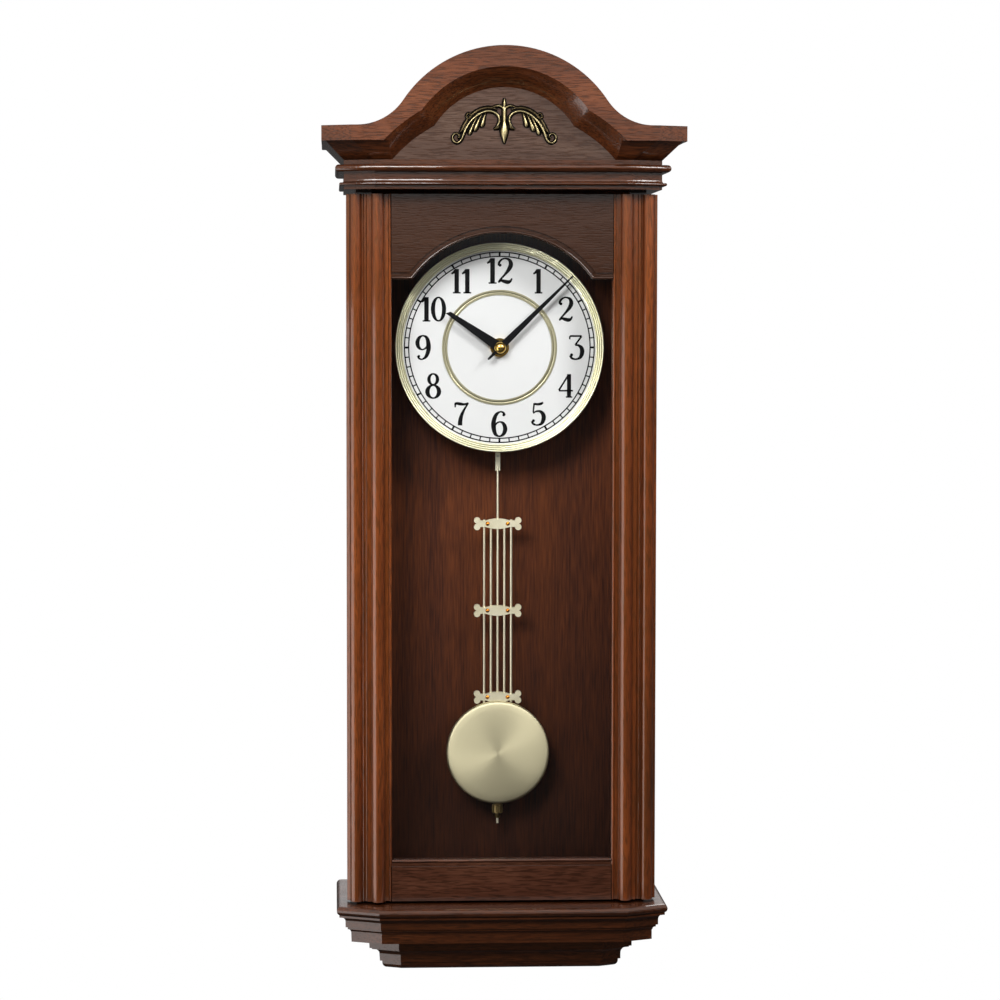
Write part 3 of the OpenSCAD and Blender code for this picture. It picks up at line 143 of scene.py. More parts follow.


def lacquered_walnut(name, grain, dark, mid, light, shift, glow=0.3, coat=0.9):
    """Open-pored walnut, stained red-brown and sprayed with gloss lacquer.

    The stain gives slow bands of light and dark, painted shade darkens the creases, the
    vessels are short dark dashes that dimple the lacquer, the amber in the lacquer gives a
    broad orange glow, and the clear top coat gives sharp window-like highlights.
    """
    material, tree = blank(name)
    place = add(tree, "ShaderNodeTexCoord")
    if grain == "up":
        run = add(tree, "ShaderNodeMapping", inputs={
            "Vector": place.outputs["Object"], "Location": shift,
            "Scale": (1, 1, WOOD_DRAWN_OUT)}).outputs[0]
    else:
        facing = add(tree, "ShaderNodeSeparateXYZ", inputs={
            "Vector": place.outputs["Normal"]})
        turned = add(tree, "ShaderNodeMath", {"operation": "ABSOLUTE"}, {
            0: facing.outputs["X"]})
        returns = add(tree, "ShaderNodeMath", {"operation": "GREATER_THAN"}, {
            0: turned.outputs[0], 1: TURNED_SIDEWAYS})
        front, side = (add(tree, "ShaderNodeMapping", inputs={
            "Vector": place.outputs["Object"], "Location": shift,
            "Scale": scale}).outputs[0]
            for scale in ((WOOD_DRAWN_OUT, 1, 1), (1, WOOD_DRAWN_OUT, 1)))
        run = add(tree, "ShaderNodeMix", {"data_type": "VECTOR"}, {
            FACTOR: returns.outputs[0], VECTOR_A: front,
            VECTOR_B: side}).outputs[VECTOR_OUT]
    figure = add(tree, "ShaderNodeTexNoise", inputs={
        "Vector": run, "Scale": per_mm(26), "Detail": 3, "Roughness": 0.55,
        "Distortion": 0.7})
    stain = add(tree, "ShaderNodeValToRGB", inputs={"Fac": figure.outputs[0]}, stops=(
        (0.25, linear(dark)), (0.75, linear(light)), (0.5, linear(mid))))
    # real fibre streaks are some 0.5 mm wide, drawn three times as wide so that they show
    fibre = add(tree, "ShaderNodeTexNoise", inputs={
        "Vector": run, "Scale": per_mm(1.5), "Detail": 2, "Roughness": 0.6})
    streak = add(tree, "ShaderNodeValToRGB", inputs={"Fac": fibre.outputs[0]}, stops=(
        (0.36, linear("#c4bdb8")), (0.60, WHITE)))
    streaked = add(tree, "ShaderNodeMix", {"data_type": "RGBA", "blend_type": "MULTIPLY"}, {
        FACTOR: 0.85, COLOUR_A: stain.outputs[0], COLOUR_B: streak.outputs[0]})
    # real vessels are 0.2 mm wide, drawn four to five times as wide so that they show
    vessel = add(tree, "ShaderNodeTexNoise", inputs={
        "Vector": run, "Scale": per_mm(0.9), "Detail": 1, "Distortion": 0.2})
    pore = add(tree, "ShaderNodeValToRGB", inputs={"Fac": vessel.outputs[0]}, stops=(
        (0.51, BLACK), (0.62, linear("#d8d8d8"))))
    pored = add(tree, "ShaderNodeMix", {"data_type": "RGBA"}, {
        FACTOR: pore.outputs[0], COLOUR_A: streaked.outputs[COLOUR_OUT],
        COLOUR_B: linear("#120805")})
    # painted shade: the wood is darker in the creases of the mouldings, where less light
    # reaches
    crease_occlusion = add(tree, "ShaderNodeAmbientOcclusion", {"samples": 8}, {"Distance": 7 * MM})
    painted_crease_shade = add(tree, "ShaderNodeMapRange", inputs={
        "Value": crease_occlusion.outputs["AO"], "From Min": 0.35, "From Max": 0.85,
        "To Min": 0.18, "To Max": 1.0})
    wood = add(tree, "ShaderNodeMix", {"data_type": "RGBA", "blend_type": "MULTIPLY"}, {
        FACTOR: 1.0, COLOUR_A: pored.outputs[COLOUR_OUT], COLOUR_B: painted_crease_shade.outputs[0]})
    flat = add(tree, "ShaderNodeMath", {"operation": "SUBTRACT"}, {
        0: 1, 1: pore.outputs[0]})
    dimple = add(tree, "ShaderNodeBump", inputs={
        "Height": flat.outputs[0], "Strength": 0.3, "Distance": 0.08 * MM})
    # the sprayed film is never dead flat: a slow ripple some 9 mm across
    ripple = add(tree, "ShaderNodeTexNoise", inputs={
        "Vector": place.outputs["Object"], "Scale": per_mm(9), "Detail": 1})
    film = add(tree, "ShaderNodeBump", inputs={
        "Height": ripple.outputs[0], "Strength": 0.10, "Distance": 0.25 * MM,
        "Normal": dimple.outputs[0]})
    surface = add(tree, "ShaderNodeBsdfPrincipled", inputs={
        "Base Color": wood.outputs[COLOUR_OUT], "Roughness": 0.52,
        "Normal": dimple.outputs[0], "Specular IOR Level": glow,
        "Specular Tint": linear("#ff9a50"), "Coat Weight": coat, "Coat Roughness": 0.08,
        "Coat IOR": 1.5, "Coat Normal": film.outputs[0]})
    add(tree, "ShaderNodeOutputMaterial", inputs={"Surface": surface.outputs[0]})
    return material


def stained_board(name, base, fleck, foot):
    """Thin veneered board, stained dark and rubbed to a satin.

    The veneer gives fine upright flecks, and the rubbed stain a soft broad shine.
    """
    material, tree = blank(name)
    place = add(tree, "ShaderNodeTexCoord")
    run = add(tree, "ShaderNodeMapping", inputs={
        "Vector": place.outputs["Object"], "Scale": (1, 1, BOARD_DRAWN_OUT)})
    cloud = add(tree, "ShaderNodeTexNoise", inputs={
        "Vector": run.outputs[0], "Scale": per_mm(30), "Detail": 4, "Roughness": 0.6})
    # real flecks are 0.2 mm wide, drawn some five times as wide so that they show
    speck = add(tree, "ShaderNodeTexNoise", inputs={
        "Vector": run.outputs[0], "Scale": per_mm(1.1), "Detail": 2})
    both = add(tree, "ShaderNodeMix", {"data_type": "FLOAT"}, {
        FACTOR: 0.5, NUMBER_A: cloud.outputs[0], NUMBER_B: speck.outputs[0]})
    tone = add(tree, "ShaderNodeValToRGB", inputs={"Fac": both.outputs[0]}, stops=(
        (0.38, linear(base)), (0.62, linear(fleck))))
    # painted shade: the board is darker towards its foot, where less light falls
    height = add(tree, "ShaderNodeSeparateXYZ", inputs={"Vector": place.outputs["Object"]})
    painted_foot_shade = add(tree, "ShaderNodeMapRange", inputs={
        "Value": height.outputs["Z"], "From Min": foot, "From Max": foot + FOOT_PAINTED_SHADE,
        "To Min": 0.22, "To Max": 1.0})
    tone_with_shade = add(tree, "ShaderNodeMix", {"data_type": "RGBA", "blend_type": "MULTIPLY"}, {
        FACTOR: 1.0, COLOUR_A: tone.outputs[0], COLOUR_B: painted_foot_shade.outputs[0]})
    rough = add(tree, "ShaderNodeMapRange", inputs={
        "Value": speck.outputs[0], "To Min": 0.36, "To Max": 0.52})
    grip = add(tree, "ShaderNodeBump", inputs={
        "Height": speck.outputs[0], "Strength": 0.12, "Distance": 0.05 * MM})
    surface = add(tree, "ShaderNodeBsdfPrincipled", inputs={
        "Base Color": tone_with_shade.outputs[COLOUR_OUT], "Roughness": rough.outputs[0],
        "Specular IOR Level": 0.2, "Normal": grip.outputs[0]})
    add(tree, "ShaderNodeOutputMaterial", inputs={"Surface": surface.outputs[0]})
    return material


def brushed_metal(name, colour, worn, rough, line, stretch):
    """Sheet, rod or wire rubbed one way: fine lines that break up the shine along it.

    Real rubbing lines are some 0.05 mm apart. The line is given in mm, and is drawn six
    times as coarse or more so that it shows.
    """
    material, tree = blank(name)
    place = add(tree, "ShaderNodeTexCoord")
    run = add(tree, "ShaderNodeMapping", inputs={
        "Vector": place.outputs["Object"], "Scale": stretch})
    lines = add(tree, "ShaderNodeTexNoise", inputs={
        "Vector": run.outputs[0], "Scale": per_mm(line), "Detail": 3, "Roughness": 0.6})
    smudge = add(tree, "ShaderNodeTexNoise", inputs={
        "Vector": place.outputs["Object"], "Scale": per_mm(14), "Detail": 2})
    tone = add(tree, "ShaderNodeValToRGB", inputs={"Fac": smudge.outputs[0]}, stops=(
        (0.35, linear(worn)), (0.65, linear(colour))))
    gloss = add(tree, "ShaderNodeMapRange", inputs={
        "Value": lines.outputs[0], "To Min": rough * 0.75, "To Max": rough * 1.25})
    scratch = add(tree, "ShaderNodeBump", inputs={
        "Height": lines.outputs[0], "Strength": 0.05, "Distance": 0.01 * MM})
    surface = add(tree, "ShaderNodeBsdfPrincipled", inputs={
        "Base Color": tone.outputs[0], "Metallic": 1.0, "Roughness": gloss.outputs[0],
        "Normal": scratch.outputs[0]})
    add(tree, "ShaderNodeOutputMaterial", inputs={"Surface": surface.outputs[0]})
    return material


def turned_metal(name, centre, colour, worn, rough, pitch, aniso):
    """Metal faced on a lathe: rings of fine tool marks that draw the shine into wedges.

    Real tool marks are some 0.1 mm apart. The pitch is given in mm, and is drawn three
    times as coarse or more so that it shows.
    """
    material, tree = blank(name)
    place = add(tree, "ShaderNodeTexCoord")
    middle = add(tree, "ShaderNodeVectorMath", {"operation": "SUBTRACT"}, {
        0: place.outputs["Object"], 1: centre})
    flat = add(tree, "ShaderNodeVectorMath", {"operation": "MULTIPLY"}, {
        0: middle.outputs[0], 1: (1, 0, 1)})
    radius = add(tree, "ShaderNodeVectorMath", {"operation": "LENGTH"}, {
        0: flat.outputs[0]})
    rings = add(tree, "ShaderNodeTexNoise", {"noise_dimensions": "1D"}, {
        "W": radius.outputs["Value"], "Scale": per_mm(pitch), "Detail": 3,
        "Roughness": 0.7})
    tone = add(tree, "ShaderNodeValToRGB", inputs={"Fac": rings.outputs[0]}, stops=(
        (0.35, linear(worn)), (0.65, linear(colour))))
    gloss = add(tree, "ShaderNodeMapRange", inputs={
        "Value": rings.outputs[0], "To Min": rough * 0.8, "To Max": rough * 1.2})
    around = add(tree, "ShaderNodeTangent", {"direction_type": "RADIAL", "axis": "Y"})
    surface = add(tree, "ShaderNodeBsdfPrincipled", inputs={
        "Base Color": tone.outputs[0], "Metallic": 1.0, "Roughness": gloss.outputs[0],
        "Anisotropic": aniso, "Tangent": around.outputs[0]})
    add(tree, "ShaderNodeOutputMaterial", inputs={"Surface": surface.outputs[0]})
    return material


def cast_bronze(name, back, front):
    """Bronze cast in sand, blacked, and rubbed back with a cloth.

    The black stays in the hollows and near the panel, the ridges come up bright, and the
    sand leaves a pitted skin.
    """
    material, tree = blank(name)
    place = add(tree, "ShaderNodeTexCoord")
    depth = add(tree, "ShaderNodeSeparateXYZ", inputs={"Vector": place.outputs["Object"]})
    rise = add(tree, "ShaderNodeMapRange", inputs={
        "Value": depth.outputs["Y"], "From Min": back, "From Max": front})
    hollow = add(tree, "ShaderNodeAmbientOcclusion", {"samples": 8}, {
        "Distance": 2.2 * MM})
    open_to = add(tree, "ShaderNodeMath", {"operation": "MULTIPLY"}, {
        0: rise.outputs[0], 1: hollow.outputs["AO"]})
    # real sand grains are some 0.2 mm, drawn six times as coarse so that they show
    grit = add(tree, "ShaderNodeTexNoise", inputs={
        "Vector": place.outputs["Object"], "Scale": per_mm(1.2), "Detail": 3})
    rubbed = add(tree, "ShaderNodeMix", {"data_type": "FLOAT"}, {
        FACTOR: 0.22, NUMBER_A: open_to.outputs[0], NUMBER_B: grit.outputs[0]})
    tone = add(tree, "ShaderNodeValToRGB", inputs={"Fac": rubbed.outputs[0]}, stops=(
        (0.28, linear("#0f0c08")), (0.70, linear("#bcad80")), (0.48, linear("#57492f"))))
    pits = add(tree, "ShaderNodeBump", inputs={
        "Height": grit.outputs[0], "Strength": 0.25, "Distance": 0.08 * MM})
    surface = add(tree, "ShaderNodeBsdfPrincipled", inputs={
        "Base Color": tone.outputs[0], "Metallic": 0.9, "Roughness": 0.34,
        "Normal": pits.outputs[0]})
    add(tree, "ShaderNodeOutputMaterial", inputs={"Surface": surface.outputs[0]})
    return material


def smooth_coat(name, colour, shade, rough, grain, depth, coat=0.0, shine=0.5):
    """Paint, enamel, ink or moulded plastic: one even colour with a faint skin to it.

    The grain of the skin and its depth are in mm.
    """
    material, tree = blank(name)
    place = add(tree, "ShaderNodeTexCoord")
    skin = add(tree, "ShaderNodeTexNoise", inputs={
        "Vector": place.outputs["Object"], "Scale": per_mm(grain), "Detail": 2})
    tone = add(tree, "ShaderNodeValToRGB", inputs={"Fac": skin.outputs[0]}, stops=(
        (0.3, linear(shade)), (0.7, linear(colour))))
    wave = add(tree, "ShaderNodeBump", inputs={
        "Height": skin.outputs[0], "Strength": 0.2, "Distance": depth * MM})
    surface = add(tree, "ShaderNodeBsdfPrincipled", inputs={
        "Base Color": tone.outputs[0], "Roughness": rough, "Normal": wave.outputs[0],
        "Specular IOR Level": shine, "Coat Weight": coat, "Coat Roughness": 0.1})
    add(tree, "ShaderNodeOutputMaterial", inputs={"Surface": surface.outputs[0]})
    return material


def window_glass(name):
    """Drawn sheet glass: clear, with a mirror-like skin that gains at a low angle."""
    material, tree = blank(name)
    clear = add(tree, "ShaderNodeBsdfTransparent", inputs={"Color": WHITE})
    shine = add(tree, "ShaderNodeBsdfGlossy", inputs={"Roughness": 0.015})
    edge = add(tree, "ShaderNodeFresnel", inputs={"IOR": 1.45})
    # only the face that light comes in by shines, as the sheet is thin and clear inside
    side = add(tree, "ShaderNodeNewGeometry")
    outer = add(tree, "ShaderNodeMath", {"operation": "SUBTRACT"}, {
        0: 1, 1: side.outputs["Backfacing"]})
    mirrored = add(tree, "ShaderNodeMath", {"operation": "MULTIPLY"}, {
        0: edge.outputs[0], 1: outer.outputs[0]})
    surface = add(tree, "ShaderNodeMixShader", inputs={
        0: mirrored.outputs[0], 1: clear.outputs[0], 2: shine.outputs[0]})
    add(tree, "ShaderNodeOutputMaterial", inputs={"Surface": surface.outputs[0]})
    return material


# Walnut: the hex colours are the stain at its darkest, usual and lightest
RED_WALNUT = ("#3f200f", "#5e2f16", "#784222")
STILE_WALNUT = ("#2e1107", "#5b2710", "#82401b")
# a darker copy of the red-brown: painted shade for the cornice and the base
SHADED_MOULDING_WALNUT = ("#260f07", "#42200f", "#592f19")
DEEP_WALNUT = ("#150c09", "#21130f", "#302019")
LOW_WALNUT = ("#321a12", "#4b2b1f", "#64402f")
GREY_WALNUT = ("#281d18", "#413129", "#57463b")
STILE_GLOW, STILE_COAT = 1.0, 0.8

# door columns: the strongest amber, so that each bead has an orange band beside a dark one
walnut_stile_left = lacquered_walnut(
    "walnut_stained_lacquered_stile_left", "up", *STILE_WALNUT, (0.31, 0.12, 0.02),
    STILE_GLOW, STILE_COAT)
walnut_stile_right = lacquered_walnut(
    "walnut_stained_lacquered_stile_right", "up", *STILE_WALNUT, (0.77, 0.43, 0.05),
    STILE_GLOW, STILE_COAT)
# case sides: plain boards, red-brown with the grain upright
walnut_side = lacquered_walnut(
    "walnut_stained_lacquered_side", "up", *RED_WALNUT, (0.15, 0.68, 0.11))
# rail over the dial: stained twice, nearly black with a cool shine
walnut_head = lacquered_walnut(
    "walnut_dark_lacquered_head_rail", "across", *DEEP_WALNUT, (0.05, 0.33, 0.61))
# rail under the glass: a duller brown with the grain across
walnut_foot = lacquered_walnut(
    "walnut_stained_lacquered_foot_rail", "across", *LOW_WALNUT, (0.35, 0.73, 0.21))
# hood: the same red-brown as the sides, with the grain across
walnut_hood = lacquered_walnut(
    "walnut_stained_lacquered_hood", "across", *RED_WALNUT, (0.09, 0.52, 0.27))
# cornice and base: painted shade, a darker copy of the red-brown for the shade in their
# many hollows and, on the base, the dimmer light at the foot of the case
walnut_moulding = lacquered_walnut(
    "walnut_stained_lacquered_moulding", "across", *SHADED_MOULDING_WALNUT, (0.02, 0.81, 0.44))
walnut_base = lacquered_walnut(
    "walnut_stained_lacquered_base", "across", *SHADED_MOULDING_WALNUT, (0.13, 0.26, 0.93))
# panel behind the ornament: a greyed stain that lets the bronze stand out
walnut_panel = lacquered_walnut(
    "walnut_greyed_lacquered_panel", "across", *GREY_WALNUT, (0.07, 0.94, 0.36))
# inside of the case: satin, red-brown above, with painted shade making it nearly black at
# the foot
board_dark = stained_board(
    "fibreboard_veneered_satin", "#3c1a0c", "#6b3616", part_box("back_panel")[0].z)

# pendulum rods: pale gold with lines that run along them
champagne = brushed_metal(
    "brass_champagne_plated_brushed", "#f0ead0", "#e9e1c4", 0.42, 0.5, (1, 1, 0.02))
# pendulum plates: pale gold with lines across, and a soft even shine
plate_face = brushed_metal(
    "brass_champagne_plated_pressed", "#f0e9cd", "#e4dcbb", 0.46, 0.5, (0.1, 1, 1))
# hub cap, arbor and hinges: deep yellow with sharp bright spots
brass = brushed_metal("brass_polished", "#d9b765", "#b98f45", 0.14, 0.6, (1, 1, 1))
# rivets: small orange dots
rivet_brass = brushed_metal(
    "brass_riveted_lacquered", "#d98f3a", "#b56b24", 0.22, 0.6, (1, 1, 1))
# rating nut and the bob's back: dull brown-gold
nut_metal = brushed_metal(
    "brass_turned_tarnished", "#7d6c48", "#4e4128", 0.38, 0.4, (1, 1, 0.3))
# screws and plates: cool grey, a little blurred by the zinc
steel = brushed_metal("steel_zinc_plated", "#b9bcbd", "#8f9293", 0.34, 0.5, (1, 1, 1))
# coil: red-brown wire with a shine that breaks from turn to turn
copper = brushed_metal(
    "copper_wire_enamelled_wound", "#b8602e", "#7d3415", 0.24, 0.3, (1, 1, 0.05))
# bob: a soft gold disc whose shine fans out from the middle
bob_face = turned_metal(
    "brass_champagne_spun", bob_centre, "#cdc6a8", "#c0b897", 0.62, 0.35, 0.6)
# bezel: pale gold, brightest on the crest of each ridge
bezel_face = turned_metal(
    "brass_champagne_turned", dial_centre, "#e9e7cb", "#dcd9b8", 0.34, 0.9, 0.4)
# ring on the dial: a duller, darker gold
gilt_ring = turned_metal(
    "brass_gilt_embossed", dial_centre, "#bdb89a", "#928d72", 0.36, 0.8, 0.2)
# ornament: black hollows and rubbed gold ridges
bronze = cast_bronze("bronze_cast_antiqued", ornament_high.y, ornament_low.y)

# dial: clean cool white, flat to the eye, with a very slow wave in its sheen
enamel_white = smooth_coat("enamel_white_sprayed", "#e6e7e6", "#dfe0df", 0.38, 60, 0.02)
# hands: black with a low sheen
enamel_black = smooth_coat(
    "enamel_black_stoved", "#060609", "#030305", 0.36, 8, 0.02, coat=0.05, shine=0.15)
# numerals and track: dead black and matt
ink_black = smooth_coat(
    "ink_black_printed", "#050506", "#020203", 0.6, 3, 0.01, shine=0.1)
# movement: dark grey. Its real spark texture is some 0.1 mm, drawn six times as coarse
abs_black = smooth_coat("abs_black_moulded", "#232326", "#1a1a1c", 0.45, 0.6, 0.03)
# wheels and lever: milky white with a waxy shine
acetal_white = smooth_coat(
    "acetal_white_moulded", "#e6e4da", "#d8d6cb", 0.35, 2, 0.02)
# cell: grey film, stretched tight and glossy
sleeve = smooth_coat(
    "cell_sleeve_shrunk_film", "#30353a", "#23272b", 0.28, 20, 0.02, coat=0.4)
# door: clear, and seen only by its reflections
glass = window_glass("glass_drawn_clear")

DRESS = {
    walnut_stile_left: ["door_stile_left"],
    walnut_stile_right: ["door_stile_right"],
    walnut_side: ["side_panel_left", "side_panel_right"],
    walnut_head: ["door_top_rail"],
    walnut_foot: ["door_bottom_rail"],
    walnut_hood: ["hood_fascia", "hood_side_left", "hood_side_right", "hood_dust_board"],
    walnut_moulding: ["cornice"],
    walnut_base: ["base_plinth", "base_ledge"],
    walnut_panel: ["hood_inner_panel"],
    board_dark: ["back_panel", "floor_board", "top_board", "dial_board", "glass_strips"],
    bronze: ["pediment_ornament"],
    steel: ["hanger_plate", "hanger_screws", "hinge_pins", "door_catch", "board_screws",
            "cell_contacts", "lever_magnet", "door_hardware"],
    brass: ["case_hinge_leaves", "spacer_posts", "threaded_bush", "dial_nut",
            "minute_arbor", "hand_cap"],
    enamel_white: ["dial_plate"],
    bezel_face: ["dial_bezel"],
    gilt_ring: ["dial_inner_ring"],
    abs_black: ["movement_front_shell", "movement_back_shell", "drive_unit",
                "setting_knob"],
    acetal_white: ["drive_pinion", "motion_wheel", "hour_wheel", "pendulum_lever"],
    sleeve: ["cell"],
    copper: ["pendulum_coil"],
    enamel_black: ["minute_hand", "hour_hand"],
    champagne: ["grid_rods", "center_rod", "pendulum_hook"],
    plate_face: ["upper_plate", "middle_plate", "lower_plate"],
    rivet_brass: ["plate_rivets"],
    bob_face: ["bob_shell"],
    nut_metal: ["rating_nut", "bob_back"],
    glass: ["door_glass"],
}
for material, names in DRESS.items():
    for name in names:
        mesh = nodes[name].data
        mesh.materials.clear()
        mesh.materials.append(material)


# Sanded edges of the woodwork

SANDED = ["door_stile_left", "door_stile_right", "door_top_rail", "door_bottom_rail",
          "hood_fascia", "hood_side_left", "hood_side_right", "hood_dust_board",
          "cornice", "base_ledge", "base_plinth", "side_panel_left", "side_panel_right"]
SANDED_EDGE = 0.5 * MM
JOIN_WITHIN = 0.01 * MM        # corners this close are one corner
FLAT_WITHIN = math.radians(0.3)   # faces that meet at less than this are one flat
EDGE_FROM = math.radians(32)   # faces that meet at more than this make an edge

for name in SANDED:
    piece = nodes[name]
    if "custom_normal" in piece.data.attributes:
        piece.data.attributes.remove(piece.data.attributes["custom_normal"])
    weld = piece.modifiers.new("joined_faces", "WELD")
    weld.merge_threshold = JOIN_WITHIN
    flats = piece.modifiers.new("whole_flats", "DECIMATE")
    flats.decimate_type = "DISSOLVE"
    flats.angle_limit = FLAT_WITHIN
    edges = piece.modifiers.new("sanded_edges", "BEVEL")
    edges.width = SANDED_EDGE
    edges.segments = 2
    edges.limit_method = "ANGLE"
    edges.angle_limit = EDGE_FROM
    edges.harden_normals = True


def piece_from(name, mesh_maker, material, body):
    """A new closed piece from the faces that mesh_maker adds, riding on a body."""
    shape = bmesh.new()
    mesh_maker(shape)
    bmesh.ops.recalc_face_normals(shape, faces=shape.faces)
    mesh = bpy.data.meshes.new(name)
    shape.to_mesh(mesh)
    shape.free()
    mesh.materials.append(material)
    piece = bpy.data.objects.new(name, mesh)
    bpy.context.scene.collection.objects.link(piece)
    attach(piece, body)
    return piece


# Printing on the dial

INK_T = 0.06 * MM        # the print stands this far out of the dial's face, and as far in
TRACK_OUT, TRACK_IN = 68.0 * MM, 65.0 * MM
TRACK_LINE = 0.44 * MM   # half the width of the track's circles
BAR, BOLD_BAR = 0.44 * MM, 0.70 * MM   # half the width of a minute's and an hour's bar
TRACK_STEPS, OVAL_STEPS, DOT_STEPS, CURVE_STEPS = 180, 64, 24, 7


def slab(shape, rows, ring=False):
    """A thin closed strip of ink from rows of (left, right) points on the dial's face."""
    layers = [[[shape.verts.new((x, y, z)) for x, z in row] for row in rows]
              for y in (dial_face - INK_T, dial_face + INK_T)]
    front, back = layers
    pairs = list(zip(range(len(rows)), range(1, len(rows))))
    if ring:
        pairs.append((len(rows) - 1, 0))
    for i, j in pairs:
        shape.faces.new((front[i][0], front[i][1], front[j][1], front[j][0]))
        shape.faces.new((back[i][0], back[j][0], back[j][1], back[i][1]))
        for side in (0, 1):
            shape.faces.new((front[i][side], front[j][side], back[j][side],
                             back[i][side]))
    if not ring:
        for end in (0, -1):
            shape.faces.new((front[end][0], front[end][1], back[end][1], back[end][0]))


def circle_line(shape, centre, inner, outer, steps):
    """A ring of ink between two radii, each an (x, z) pair, so that it may be an oval."""
    rows = []
    for i in range(steps):
        a = math.tau * i / steps
        rows.append([(centre[0] + r[0] * math.cos(a), centre[1] + r[1] * math.sin(a))
                     for r in (inner, outer)])
    slab(shape, rows, ring=True)


def minute_track(shape):
    """Two circles joined by a bar at each minute, bolder at each hour."""
    centre = (dial_centre.x, dial_centre.z)
    for r in (TRACK_IN, TRACK_OUT):
        circle_line(shape, centre, (r - TRACK_LINE,) * 2, (r + TRACK_LINE,) * 2,
                    TRACK_STEPS)
    for minute in range(60):
        a = math.tau * minute / 60
        out = Vector((math.sin(a), math.cos(a)))
        along = Vector((math.cos(a), -math.sin(a)))
        half = BOLD_BAR if minute % 5 == 0 else BAR
        rows = []
        for r in (TRACK_IN - TRACK_LINE, TRACK_OUT + TRACK_LINE):
            middle = Vector(centre) + out * r
            rows.append([middle - along * half, middle + along * half])
        slab(shape, rows)


# Each figure is 1 high. A stroke is knots of (x, up, half width); a dot is (x, up, radius);
# an oval is (x, up, across, high, side half width, top half width) along its middle line.
HOOK_FIVE = [(.12, .52, .012), (.25, .60, .02), (.42, .60, .04), (.55, .47, .07),
             (.57, .28, .075), (.48, .08, .05), (.30, .012, .018), (.13, .06, .03),
             (.06, .18, .03)]
SIX = {"dots": [(.47, .86, .055)],
       "strokes": [[(.52, .84, .02), (.46, .95, .025), (.33, .985, .015), (.17, .87, .05),
                    (.075, .62, .07), (.07, .36, .075), (.14, .10, .05), (.30, .012, .016),
                    (.46, .10, .05), (.53, .30, .07), (.47, .50, .05), (.33, .585, .015),
                    (.18, .52, .02), (.10, .38, .02)]]}
NINE_WIDE = .60          # a nine is a six that is turned round in this width
FIGURES = {
    "0": {"ovals": [(.30, .50, .23, .485, .07, .015)]},
    "1": {"strokes": [[(.24, .0, .075), (.24, 1, .075)],
                      [(.02, .80, .02), (.10, .845, .03), (.19, .93, .05)],
                      [(.08, .012, .012), (.40, .012, .012)]]},
    "2": {"dots": [(.10, .72, .06)],
          "strokes": [[(.045, .70, .02), (.06, .82, .03), (.16, .94, .02),
                       (.30, .985, .015), (.46, .93, .04), (.53, .76, .07),
                       (.46, .57, .06), (.30, .36, .03), (.12, .16, .02), (.04, .05, .02)],
                      [(.03, .03, .01), (.14, .11, .03), (.28, .075, .055),
                       (.42, .05, .06), (.52, .10, .03), (.57, .20, .012)]]},
    "3": {"dots": [(.13, .19, .065)],
          "strokes": [[(.06, .975, .02), (.55, .975, .02)],
                      [(.06, .97, .02), (.05, .84, .01)],
                      [(.55, .97, .02), (.28, .60, .02)],
                      [(.28, .60, .015), (.42, .585, .03), (.54, .48, .065),
                       (.57, .30, .075), (.50, .10, .05), (.33, .012, .018),
                       (.15, .05, .03), (.07, .17, .03)]]},
    "4": {"strokes": [[(.47, 0, .07), (.47, 1, .07)], [(.44, .96, .02), (.03, .30, .02)],
                      [(.03, .285, .017), (.64, .285, .017)],
                      [(.33, .012, .012), (.61, .012, .012)]]},
    "5": {"dots": [(.13, .20, .065)],
          "strokes": [[(.16, .93, .03), (.30, .91, .035), (.45, .93, .04), (.55, .99, .02)],
                      [(.16, .95, .02), (.12, .55, .015)], HOOK_FIVE]},
    "6": SIX,
    "7": {"strokes": [[(.05, .86, .02), (.08, .95, .035), (.25, .93, .05),
                       (.45, .91, .03), (.62, .97, .015)],
                      [(.62, .97, .012), (.45, .70, .03), (.33, .45, .055),
                       (.27, .20, .075), (.26, 0, .08)],
                      [(.05, .97, .012), (.05, .78, .012)]]},
    "8": {"ovals": [(.31, .76, .17, .215, .05, .015), (.31, .27, .23, .255, .07, .015)]},
    "9": {"dots": [(NINE_WIDE - x, 1 - z, r) for x, z, r in SIX["dots"]],
          "strokes": [[(NINE_WIDE - x, 1 - z, r) for x, z, r in SIX["strokes"][0]]]},
}
FIGURE_BOX = {"0": .60, "1": .42, "2": .60, "3": .62, "4": .64, "5": .62, "6": .60,
              "7": .62, "8": .62, "9": NINE_WIDE}
INK_SPREAD = 0.018       # how far the ink runs past each stroke's edge
DOT_HOLE = 0.02          # a dot is a ring whose hole is this share of it, too small to see
FIGURE_GAP = 0.02        # space between two figures, as a share of their height
FIGURE_R = 54.8 * MM     # from the dial's centre to each numeral's centre
FIGURE_H = {7: 16.6, 4: 16.6, 5: 16.6, 12: 18.0, 8: 18.0, 6: 18.0}
USUAL_H = 17.2           # height in mm of the numerals that FIGURE_H doesn't name


def through(knots):
    """Points of a smooth curve through the knots, which carry their widths with them."""
    pts = [Vector(k) for k in knots]
    if len(pts) == 2:
        return pts
    pts = [2 * pts[0] - pts[1]] + pts + [2 * pts[-1] - pts[-2]]
    line = []
    for a, b, c, d in zip(pts, pts[1:], pts[2:], pts[3:]):
        for i in range(CURVE_STEPS):
            t = i / CURVE_STEPS
            line.append(0.5 * (2 * b + (c - a) * t + (2 * a - 5 * b + 4 * c - d) * t ** 2
                               + (3 * b - a - 3 * c + d) * t ** 3))
    return line + [pts[-2]]


